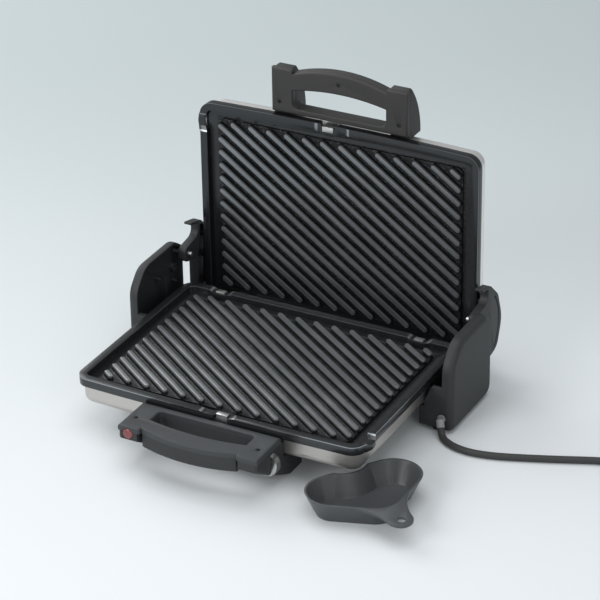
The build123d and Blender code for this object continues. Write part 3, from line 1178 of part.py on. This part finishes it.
# Strain relief: a collar in the cover's hole and a boot that leans towards the table
exit_point = Vector(*CORD_ROUTE[0])
exit_way = (Vector(*CORD_ROUTE[1]) - exit_point).normalized()
BOOT_LONG = 8.5
GLAND_FLANGE = 2.0
BOOT_ROOT = GLAND_RADIUS - 0.2
BOOT_TIP = CORD_RADIUS + 0.3
with BuildPart() as relief:
    with Locations(along_y(GLAND_X, COVER_FRONT + COVER_RIM, GLAND_Z)):
        Cylinder(GLAND_RADIUS, COVER_RIM + 1, align=(Align.CENTER, Align.CENTER, Align.MIN))
        Cylinder(GLAND_RADIUS + GLAND_FLANGE, GLAND_FLANGE, align=(Align.CENTER, Align.CENTER, Align.MAX))
    with BuildSketch(Plane(origin=exit_point - exit_way * BOOT_LONG, z_dir=exit_way)):
        Circle(BOOT_ROOT)
    with BuildSketch(Plane(origin=exit_point, z_dir=exit_way)):
        Circle(BOOT_TIP)
    loft()
    with BuildSketch(Plane.XZ.offset(-COVER_FRONT - COVER_RIM)):
        with Locations((GLAND_X, GLAND_Z)):
            Rectangle(6 * GLAND_RADIUS, 6 * GLAND_RADIUS)
    extrude(amount=COVER_RIM, mode=Mode.SUBTRACT)
    with Locations(along_y(GLAND_X, COVER_FRONT + COVER_RIM, GLAND_Z)):
        Cylinder(GLAND_RADIUS, COVER_RIM + 1, align=(Align.CENTER, Align.CENTER, Align.MIN))
keep(relief.part, "strain_relief")

# A two-pin plug on the end of the lead
PLUG_LONG = 34.0
PLUG_NECK = 14.0
PIN_RADIUS = 2.4
PIN_LONG = 19.0
PIN_APART = 19.0
plug_point = Vector(*TAIL_ROUTE[-1])
plug_way = (plug_point - Vector(*TAIL_ROUTE[-2])).normalized()
with BuildPart() as plug:
    with BuildSketch(Plane.XZ):
        with BuildLine():
            Polyline((0, 0), (CORD_RADIUS + 1, 0), (CORD_RADIUS + 3, PLUG_NECK), (PLUG_RADIUS - 5, PLUG_NECK + 4),
                     (PLUG_RADIUS, PLUG_NECK + 12), (PLUG_RADIUS, PLUG_NECK + PLUG_LONG),
                     (0, PLUG_NECK + PLUG_LONG), close=True)
        make_face()
    revolve(axis=Axis.Z)
with BuildPart() as plug_pins:
    with BuildSketch(Plane.XY.offset(PLUG_NECK + PLUG_LONG)):
        with Locations((0, -PIN_APART / 2), (0, PIN_APART / 2)):
            Circle(PIN_RADIUS)
    extrude(amount=PIN_LONG)
    fillet(plug_pins.faces().sort_by(Axis.Z)[-2:].edges(), PIN_RADIUS / 2)
plug_place = Plane(origin=plug_point, x_dir=(0, 0, 1), z_dir=plug_way).location
keep(plug.part.moved(plug_place), "plug_body")
keep(plug_pins.part.moved(plug_place), "plug_pins")
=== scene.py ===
import bpy
import json
from math import cos, pi, radians, sin
from mathutils import Matrix, Vector

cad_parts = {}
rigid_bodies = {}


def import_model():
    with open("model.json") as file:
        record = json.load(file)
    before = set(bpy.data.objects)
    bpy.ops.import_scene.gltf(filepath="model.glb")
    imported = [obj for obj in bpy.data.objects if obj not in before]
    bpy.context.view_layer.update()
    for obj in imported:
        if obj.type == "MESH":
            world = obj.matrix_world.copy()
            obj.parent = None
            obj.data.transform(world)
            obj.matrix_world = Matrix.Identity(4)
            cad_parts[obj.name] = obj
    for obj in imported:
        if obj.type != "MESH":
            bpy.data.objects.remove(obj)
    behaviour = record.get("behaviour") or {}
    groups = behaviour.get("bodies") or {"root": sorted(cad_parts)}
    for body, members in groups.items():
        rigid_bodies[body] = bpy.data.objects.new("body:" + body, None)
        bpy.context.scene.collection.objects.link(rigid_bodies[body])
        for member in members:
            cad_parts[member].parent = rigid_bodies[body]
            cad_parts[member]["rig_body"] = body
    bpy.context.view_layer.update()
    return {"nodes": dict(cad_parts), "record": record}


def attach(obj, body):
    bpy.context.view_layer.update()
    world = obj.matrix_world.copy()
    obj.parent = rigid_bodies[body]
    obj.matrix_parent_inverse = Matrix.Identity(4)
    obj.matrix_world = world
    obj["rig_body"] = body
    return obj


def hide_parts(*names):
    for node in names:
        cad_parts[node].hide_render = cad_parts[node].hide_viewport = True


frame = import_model()

# Places and sizes on the grill are in millimetres, counted from its middle plane, its hinge axis and
# the table. The frame's own origin lies at ORIGIN_X, ORIGIN_Y.
ORIGIN_X = 25.9364
ORIGIN_Y = -107.25
HINGE_Z = 24.0
RIB_TOP_Z = 58.0
PLATE_GAP = 6.0
FIELD_MID_Y = -117.0
MM = 1000


def spot(x, y, z):
    """A place on the grill, in the frame's metres."""
    return Vector(((x - ORIGIN_X) / MM, (y - ORIGIN_Y) / MM, z / MM))


# Camera
CAMERA_AT = (1238, -2345, 1500)
CAMERA_TURN = radians(28.31)
CAMERA_DOWN = radians(28.25)
CAMERA_ROLL = radians(-0.88)
LENS = 168.24
SENSOR_WIDTH = 36
CLIP_METRES = (0.05, 60)

camera_data = bpy.data.cameras.new("camera")
camera_data.sensor_width = SENSOR_WIDTH
camera_data.lens = LENS
camera_data.clip_start, camera_data.clip_end = CLIP_METRES
camera = bpy.data.objects.new("camera", camera_data)
bpy.context.scene.collection.objects.link(camera)
backward = Vector((sin(CAMERA_TURN) * cos(CAMERA_DOWN),
                   -cos(CAMERA_TURN) * cos(CAMERA_DOWN),
                   sin(CAMERA_DOWN)))
level = Vector((cos(CAMERA_TURN), sin(CAMERA_TURN), 0))
above = backward.cross(level)
right = cos(CAMERA_ROLL) * level + sin(CAMERA_ROLL) * above
upward = -sin(CAMERA_ROLL) * level + cos(CAMERA_ROLL) * above
camera_turned = Matrix((right, upward, backward)).transposed().to_4x4()
camera.matrix_world = Matrix.Translation(spot(*CAMERA_AT)) @ camera_turned
bpy.context.scene.camera = camera
bpy.context.scene.view_settings.view_transform = "Standard"


# Materials
class Field:
    """A value that varies over a surface; arithmetic on it adds Math nodes."""

    def __init__(self, finish, socket):
        self.finish = finish
        self.socket = socket

    def join(self, operation, first, second):
        return self.finish.node("ShaderNodeMath", {"operation": operation}, {0: first, 1: second})

    def __add__(self, other):
        return self.join("ADD", self, other)

    def __sub__(self, other):
        return self.join("SUBTRACT", self, other)

    def __rsub__(self, other):
        return self.join("SUBTRACT", other, self)

    def __mul__(self, other):
        return self.join("MULTIPLY", self, other)

    def size(self):
        return self.finish.node("ShaderNodeMath", {"operation": "ABSOLUTE"}, {0: self})

    __radd__ = __add__
    __rmul__ = __mul__


class Finish:
    """One procedural material with a Principled shader."""

    def __init__(self, name, **constants):
        self.material = bpy.data.materials.new(name)
        self.material.use_nodes = True
        self.tree = self.material.node_tree
        self.shader = self.tree.nodes["Principled BSDF"]
        self.set(**constants)
        self.place = self.node("ShaderNodeTexCoord", {}, {}, "Object")

    def node(self, kind, settings, values, output=0):
        """Adds any node: its settings first, then the values or links of its sockets."""
        made = self.tree.nodes.new(kind)
        for name, value in settings.items():
            setattr(made, name, value)
        for name, value in values.items():
            self.put(made.inputs[name], value)
        return Field(self, made.outputs[output])

    def put(self, socket, value):
        """Links a field to a socket, or sets the socket's own value."""
        if isinstance(value, Field):
            self.tree.links.new(value.socket, socket)
        else:
            socket.default_value = value

    def set(self, **values):
        """Sets or links sockets of the shader, each under its name with underscores."""
        for socket, value in values.items():
            self.put(self.shader.inputs[socket.replace("_", " ")], value)

    def along(self, axis):
        """How far a point lies along one axis of the frame, in metres."""
        return self.node("ShaderNodeSeparateXYZ", {}, {"Vector": self.place}, axis)

    def stretched(self, scale):
        """The place, scaled by its own factor along each axis."""
        return self.node("ShaderNodeMapping", {}, {"Vector": self.place, "Scale": scale})

    def noise(self, scale, detail, roughness=0.5, place=None):
        values = {"Vector": place or self.place, "Scale": scale, "Detail": detail, "Roughness": roughness}
        return self.node("ShaderNodeTexNoise", {}, values, "Fac")

    def cells(self, scale, output=0):
        """Irregular cells: the distance from each one's middle, or its own random colour."""
        values = {"Vector": self.place, "Scale": scale}
        return self.node("ShaderNodeTexVoronoi", {"feature": "F1"}, values, output)

    def band(self, value, low, high):
        """0 below low, 1 above high, smooth between."""
        values = {"Value": value, "From Min": low, "From Max": high}
        return self.node("ShaderNodeMapRange", {"interpolation_type": "SMOOTHSTEP"}, values)

    def blend(self, share, first, second):
        """A colour between two colours."""
        return self.node("ShaderNodeMix", {"data_type": "RGBA"}, {0: share, 6: first, 7: second}, 2)

    def bump(self, height, strength, distance):
        values = {"Height": height, "Strength": strength, "Distance": distance}
        self.put(self.shader.inputs["Normal"], self.node("ShaderNodeBump", {}, values))


def grey(value, warm=0.0):
    """A grey, a little warmer or cooler where asked."""
    return (value * (1 + warm), value, value * (1 - warm), 1)


# The ribbed field gives way to its channel between these distances from its middle.
FIELD_EDGE_X = (146.0, 150.0)
FIELD_EDGE_Y = (101.0, 104.0)
# Levels between which the painted highlights on the ribs' tops and sloping edges and along the rim's edge
# come and go, in millimetres above the ribs' tops.
CROWN_STARTS = (-3.6, -0.6)
SHOULDER_STARTS = (-2.1, -1.2)
SHOULDER_ENDS = (-0.6, -0.1)
RIM_EDGE_STARTS = (0.2, 0.6)
RIM_EDGE_ENDS = (1.1, 1.5)
FLECKS_PER_METRE = 900
FLECK_RADIUS = (0.10, 0.34)
FLECK_CHOICE = (0.70, 0.78)


def cast_coating(name, rib_axis, rib_top, facing, lengthways, middle, rim, highlight_strength):
    """Glossy dark non-stick coating with fine flecks; highlights are painted on the ribs' tops and sloping
    edges and along the rim's edge.

    The ribs stand up along one axis, facing forwards or backwards on it, and their tops and the middle
    of their field are places in the frame, in millimetres.
    """
    finish = Finish(name, Metallic=0.8)
    height = finish.along(rib_axis)
    from_side = (finish.along("X") + ORIGIN_X / MM).size()
    from_middle = (finish.along(lengthways) - middle / MM).size()

    def reached(levels):
        """0 below the first level over the ribs' tops, 1 above the second."""
        return finish.band(height, *((rib_top + facing * rise) / MM for rise in levels))

    def inside(distance, edge):
        """1 in the ribbed field, 0 past its edge."""
        return 1 - finish.band(distance, *(limit / MM for limit in edge))

    field = inside(from_side, FIELD_EDGE_X) * inside(from_middle, FIELD_EDGE_Y)
    # Painted highlights: the ribs' tops and sloping edges, and a line along the rim's edge, get a lighter
    # colour where glints of light would fall.
    crown_highlight = reached(CROWN_STARTS) * field
    shoulder_highlight = reached(SHOULDER_STARTS) * (1 - reached(SHOULDER_ENDS)) * field
    rim_edge_highlight = reached(RIM_EDGE_STARTS) * (1 - field) * (1 - reached(RIM_EDGE_ENDS))
    cell_colour = finish.cells(FLECKS_PER_METRE, "Color")
    chosen = finish.node("ShaderNodeSeparateColor", {}, {"Color": cell_colour}, "Red")
    fleck = 1 - finish.band(finish.cells(FLECKS_PER_METRE), *FLECK_RADIUS)
    fleck = fleck * finish.band(chosen, *FLECK_CHOICE) * field
    mottling = finish.band(finish.noise(26, 4), 0.35, 0.75)

    low = finish.blend(mottling, grey(0.018, -0.05), grey(0.030, -0.04))
    low = finish.blend(field, grey(rim, -0.05), low)
    # Painted highlight colours, scaled by the highlight strength: lighter on the ribs' tops, lighter still
    # on their sloping edges and along the rim's edge.
    low = finish.blend(rim_edge_highlight, low, grey(0.36 * highlight_strength, -0.05))
    high = finish.blend(mottling, grey(0.25 * highlight_strength, -0.05), grey(0.31 * highlight_strength, -0.04))
    high = finish.blend(shoulder_highlight, high, grey(0.55 * highlight_strength, -0.03))
    finish.set(Base_Color=finish.blend(fleck, finish.blend(crown_highlight, low, high), grey(0.42, -0.02)),
               Roughness=0.22 + field * 0.12 - crown_highlight * 0.04 + mottling * 0.05)
    finish.bump(finish.noise(1100, 3) + fleck * 0.3, strength=0.15, distance=0.0002)
    return finish.material


GRAIN_COARSE = 14.0
GRAIN_FINE = 2600.0


def satin_sheet(name, across, shade, warm, rough):
    """Satin sheet steel, its grain fine across one axis and long over the other two."""
    finish = Finish(name, Metallic=1.0)
    scale = [GRAIN_COARSE] * 3
    scale[across] = GRAIN_FINE
    grain = finish.noise(1.0, 2, 0.6, finish.stretched(scale))
    cloud = finish.noise(9, 3)
    finish.set(Base_Color=finish.blend(grain, grey(shade * 0.94, warm), grey(shade * 1.05, warm)),
               Roughness=rough + grain * 0.10 + cloud * 0.05)
    finish.bump(grain, strength=0.05, distance=0.0001)
    return finish.material


SCRATCHES = (300, 2200, 300)


def plain_metal(name, colour, rough, tarnish_and_glint_scale=60, mottling=0.25):
    """Metal with cloudy dull patches and fine scratches; on the chrome the patches are fine, deep specks,
    painted glints standing for light caught by its knurling.
    """
    finish = Finish(name, Metallic=1.0)
    cloud = finish.band(finish.noise(tarnish_and_glint_scale, 5), 0.3, 0.75)
    scratch = finish.noise(1.0, 2, 0.6, finish.stretched(SCRATCHES))
    dull = tuple(channel * (1 - mottling) for channel in colour[:3]) + (1,)
    finish.set(Base_Color=finish.blend(cloud, colour, dull), Roughness=rough + cloud * 0.12 + scratch * 0.06)
    finish.bump(scratch, strength=0.04, distance=0.0001)
    return finish.material


def moulded(name, colour, rough, grain=0.35, scale=1500, coat=0.0):
    """Moulded plastic or rubber with a fine spark-eroded grain."""
    finish = Finish(name, Coat_Weight=coat)
    pits = finish.noise(scale, 2, 0.6)
    cloud = finish.noise(18, 3)
    light = tuple(min(1, channel * 1.18) for channel in colour[:3]) + (1,)
    finish.set(Base_Color=finish.blend(finish.band(cloud, 0.3, 0.8), colour, light),
               Roughness=rough + pits * 0.10 + cloud * 0.05)
    finish.bump(pits, strength=grain, distance=0.00012)
    return finish.material


def moulded_lens(name):
    """Dark red lens whose facets catch the light unevenly."""
    finish = Finish(name, Coat_Weight=1.0)
    facet = finish.cells(620)
    edge = finish.band(facet, 0.15, 0.65)
    finish.set(Base_Color=finish.blend(edge, (0.40, 0.035, 0.032, 1), (0.090, 0.008, 0.010, 1)),
               Roughness=0.16 + edge * 0.14)
    finish.bump(facet, strength=0.35, distance=0.0004)
    return finish.material


# The lid stands open at rest: its ribs face forwards, and its field's middle is above the hinge.
LID_RIB_TOP_Y = RIB_TOP_Z + PLATE_GAP - HINGE_Z
LID_FIELD_MID_Z = HINGE_Z - FIELD_MID_Y
FINISHES = {
    "coated_casting": cast_coating("lower_coating", rib_axis="Z", rib_top=RIB_TOP_Z, facing=1,
                                   lengthways="Y", middle=FIELD_MID_Y - ORIGIN_Y, rim=0.070, highlight_strength=1.0),
    # The lid's coating is a shaded copy of the base's: weaker painted highlights and a darker rim, as
    # painted shade.
    "lid_coating": cast_coating("lid_coating", rib_axis="Y", rib_top=LID_RIB_TOP_Y - ORIGIN_Y, facing=-1,
                                lengthways="Z", middle=LID_FIELD_MID_Z, rim=0.045, highlight_strength=0.72),
    "satin_steel": satin_sheet("base_steel", across=2, shade=0.54, warm=0.05, rough=0.32),
    # The lid's steel is a copy of the base's, painted far lighter as painted light.
    "lid_steel": satin_sheet("lid_steel", across=1, shade=0.86, warm=0.02, rough=0.30),
    "bright_aluminium": satin_sheet("reflector_sheet", across=0, shade=0.80, warm=0.0, rough=0.24),
    "heater_steel": plain_metal("heater_tube", grey(0.20, 0.05), rough=0.45),
    "ceramic_white": moulded("fired_ceramic", grey(0.72, 0.04), rough=0.55),
    "handle_cap_plastic": moulded("handle_cap_grey", grey(0.038, -0.10), rough=0.50),
    "handle_body_plastic": moulded("handle_body_grey", grey(0.023, -0.08), rough=0.54),
    # The lid's handle is a copy of the base's: its cap painted darker and warmer as painted shade, its body
    # a little lighter as painted light.
    "lid_handle_cap": moulded("lid_handle_cap_grey", grey(0.024, 0.06), rough=0.46),
    "lid_handle_body": moulded("lid_handle_body_grey", grey(0.026, 0.02), rough=0.52),
    "cover_plastic": moulded("cover_black", grey(0.024, -0.08), rough=0.50),
    "zinc_steel": plain_metal("zinc_steel", grey(0.62, 0.01), rough=0.28),
    "dark_steel": plain_metal("dark_steel", grey(0.05), rough=0.42),
    "relief_plastic": moulded("relief_grey", grey(0.26), rough=0.45),
    # The chrome's fine, deep dull specks are painted glints of light caught by the knurling.
    "chrome_metal": plain_metal("chrome", grey(0.74), rough=0.16, tarnish_and_glint_scale=1100, mottling=0.72),
    "bush_plastic": moulded("nylon", grey(0.62, 0.04), rough=0.50),
    "red_lens": moulded_lens("red_lens"),
    "lamp_glass": moulded("lamp_glass", (0.72, 0.50, 0.36, 1), rough=0.10, grain=0.02, scale=400, coat=0.6),
    "foot_rubber": moulded("foot_rubber", grey(0.022), rough=0.75),
    "cup_plastic": moulded("cup_grey", grey(0.060, -0.07), rough=0.32, grain=0.25),
    "cord_rubber": moulded("lead_rubber", grey(0.030), rough=0.50, grain=0.20),
    "pin_brass": plain_metal("plug_pin_metal", grey(0.70, 0.06), rough=0.22),
}
# Pieces of the lid that get a copy of the base's material, with its colour changed as painted light and
# shade.
LID_FINISHES = {
    "upper_shell": "lid_steel",
    "upper_plate": "lid_coating",
    "upper_handle_cap": "lid_handle_cap",
    "upper_handle_base": "lid_handle_body",
}
slot_of = {part["node"]: part["material_slot"] for part in frame["record"]["subparts"]}

for node, piece in frame["nodes"].items():
    piece.data.materials.clear()
    piece.data.materials.append(FINISHES[LID_FINISHES.get(node, slot_of[node])])


# Dressed pieces
WELD_WITHIN = 0.002
FLAT_WITHIN = radians(0.6)
EDGE_FROM = radians(32)
SMOOTH_BELOW = radians(28)


def only(piece):
    """Selects one piece and nothing else."""
    bpy.ops.object.select_all(action="DESELECT")
    piece.select_set(True)
    bpy.context.view_layer.objects.active = piece


def dressed(node, width, segments=2):
    """A copy of a CAD piece whose sharp edges are rounded as moulding or pressing leaves them."""
    only(frame["nodes"][node])
    body = frame["nodes"][node]["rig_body"]
    bpy.ops.object.duplicate()
    piece = bpy.context.active_object
    for key in list(piece.keys()):
        del piece[key]
    piece.parent = None
    piece.matrix_world = Matrix.Identity(4)
    piece.name = node + "_dressed"
    bpy.ops.mesh.customdata_custom_splitnormals_clear()
    bpy.ops.object.mode_set(mode="EDIT")
    bpy.ops.mesh.select_all(action="SELECT")
    bpy.ops.mesh.remove_doubles(threshold=WELD_WITHIN / MM)
    bpy.ops.mesh.dissolve_limited(angle_limit=FLAT_WITHIN)
    bpy.ops.object.mode_set(mode="OBJECT")
    edges = piece.modifiers.new("edges", "BEVEL")
    edges.width = width / MM
    edges.segments = segments
    edges.limit_method = "ANGLE"
    edges.angle_limit = EDGE_FROM
    bpy.ops.object.modifier_apply(modifier="edges")
    bpy.ops.object.shade_smooth_by_angle(angle=SMOOTH_BELOW)
    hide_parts(node)
    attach(piece, body)


for half in ("lower", "upper"):
    dressed(half + "_plate", width=1.3, segments=3)
    dressed(half + "_handle_cap", width=0.6)
    dressed(half + "_handle_base", width=1.0)
    dressed(half + "_plate_catch", width=0.3)
    dressed(half + "_plate_hooks", width=0.3)
for side in ("left", "right"):
    dressed(side + "_cover", width=0.7)
    dressed(side + "_lid_arm", width=0.5)
dressed("drip_cup", width=0.7)

# Mains lead: one line from the strain relief to the plug, with its put-away coil. The points outside
# the coil repeat the solid lead's route.
LEAD_ACROSS = 7.5
LEAD_RADIUS = LEAD_ACROSS / 2
COIL_OUTER = 44.0
COIL_STEP = 4.8
COIL_LAYER = 8.2
COIL_LIFT = 1.2
COIL_LOW = LEAD_RADIUS + COIL_LIFT
COIL_HIGH = COIL_LOW + COIL_LAYER
PLUG_HIGH = 17.0
LEAD_ROUTE = (
    (184.3, -86.5, 10.5), (187.5, -91.0, LEAD_RADIUS), (195.2, -98.0, LEAD_RADIUS),
    (209.0, -104.8, LEAD_RADIUS), (226.0, -107.0, LEAD_RADIUS), (246.0, -104.0, LEAD_RADIUS),
    (268.0, -97.0, LEAD_RADIUS), (311.0, -80.0, LEAD_RADIUS), (352.0, -62.0, LEAD_RADIUS),
    (384.0, -54.0, COIL_LOW), (415.0, -54.0, COIL_LOW),
)
COIL_X = LEAD_ROUTE[-1][0]
COIL_Y = LEAD_ROUTE[-1][1] + COIL_OUTER
COIL_END_Y = COIL_Y - COIL_OUTER - COIL_STEP
TAIL_ROUTE = (
    (COIL_X + LEAD_ACROSS, COIL_END_Y, COIL_HIGH), (COIL_X + 26, COIL_END_Y, COIL_HIGH),
    (COIL_X + 46, COIL_END_Y + 9, PLUG_HIGH), (COIL_X + 64, COIL_END_Y + 20, PLUG_HIGH),
)
COIL_TURNS = 4
# The coil winds inwards for three half turns, climbs a layer in the fourth and winds outwards again.
CLIMB_FROM = 3
CLIMB_TO = 4
COIL_INNER = COIL_OUTER - CLIMB_FROM * COIL_STEP
COIL_POINTS = 16
# The line passes inside its points, so they stand further out than its turns by this factor.
COIL_SPREAD = 1.0 / (0.75 + 0.25 * cos(2 * pi / COIL_POINTS))


def coil_point(step):
    """A point of the coil, counted from where the lead runs into it."""
    halves = 2 * step / COIL_POINTS
    if halves <= CLIMB_FROM:
        radius, height = COIL_OUTER - COIL_STEP * halves, COIL_LOW
    elif halves <= CLIMB_TO:
        radius, height = COIL_INNER, COIL_LOW + COIL_LAYER * (halves - CLIMB_FROM)
    else:
        radius, height = COIL_INNER + COIL_STEP * (halves - CLIMB_TO), COIL_HIGH
    angle = pi * (halves - 0.5)
    reach = radius * COIL_SPREAD
    return (COIL_X + reach * cos(angle), COIL_Y + reach * sin(angle), height)


coil_points = [coil_point(step) for step in range(1, COIL_TURNS * COIL_POINTS)]
lead_points = [*LEAD_ROUTE, *coil_points, (COIL_X, COIL_END_Y, COIL_HIGH), *TAIL_ROUTE]
lead_curve = bpy.data.curves.new("mains_lead", "CURVE")
lead_curve.dimensions = "3D"
lead_curve.bevel_depth = LEAD_RADIUS / MM
lead_curve.bevel_resolution = 6
lead_curve.resolution_u = 6
lead_curve.use_fill_caps = True
lead_line = lead_curve.splines.new("NURBS")
lead_line.points.add(len(lead_points) - 1)
for point, place in zip(lead_line.points, lead_points):
    point.co = (*spot(*place), 1)
lead_line.order_u = 3
lead_line.use_endpoint_u = True
lead = bpy.data.objects.new("mains_lead", lead_curve)
bpy.context.scene.collection.objects.link(lead)
lead_curve.materials.append(FINISHES["cord_rubber"])
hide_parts("cord_run", "cord_coil", "cord_tail")
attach(lead, "base")
spot(*LEAD_ROUTE[0])

# Floor, with painted shade darkening it slantwise towards the back, in metres
FLOOR_ACROSS = 14
FLOOR_SLANT = 0.55
FLOOR_FADE = (-0.45, 1.15)
FLOOR_NEAR = (0.79, 0.82, 0.84, 1)
FLOOR_FAR = (0.52, 0.575, 0.59, 1)

bpy.ops.object.select_all(action="DESELECT")
bpy.ops.mesh.primitive_plane_add(size=FLOOR_ACROSS, location=(0, 0, 0))
floor = bpy.context.active_object
floor.name = "floor"
floor_finish = Finish("pale_floor", Specular_IOR_Level=0.15)
floor_depth = floor_finish.along("Y") - floor_finish.along("X") * FLOOR_SLANT
floor_shade = floor_finish.band(floor_depth, *FLOOR_FADE)
floor_finish.set(Base_Color=floor_finish.blend(floor_shade, FLOOR_NEAR, FLOOR_FAR),
                 Roughness=0.60 + floor_finish.noise(0.8, 1) * 0.04)
floor.data.materials.append(floor_finish.material)

# Light, its places and sizes in metres and its power in watts
LIT_POINT = Vector((0, 0, 0.1))
SKY_COLOUR = (0.86, 0.90, 0.92, 1)
SKY_STRENGTH = 0.42


def softbox(name, place, wide, high, power):
    """A large soft lamp that faces the grill."""
    data = bpy.data.lights.new(name, "AREA")
    data.shape = "RECTANGLE"
    data.size = wide
    data.size_y = high
    data.energy = power
    lamp = bpy.data.objects.new(name, data)
    bpy.context.scene.collection.objects.link(lamp)
    lamp.location = place
    lamp.rotation_mode = "QUATERNION"
    lamp.rotation_quaternion = (LIT_POINT - Vector(place)).to_track_quat("-Z", "Y")


softbox("key", (-2.1, 0.8, 1.7), wide=2.2, high=1.8, power=34)
softbox("front", (-1.1, -2.3, 1.5), wide=1.6, high=1.2, power=34)
softbox("fill", (2.4, -1.8, 1.5), wide=2.0, high=1.6, power=16)
softbox("top", (0.1, 0.0, 2.8), wide=2.2, high=2.2, power=26)
world = bpy.data.worlds.new("studio")
bpy.context.scene.world = world
world.use_nodes = True
sky = world.node_tree.nodes["Background"].inputs
sky["Color"].default_value = SKY_COLOUR
sky["Strength"].default_value = SKY_STRENGTH
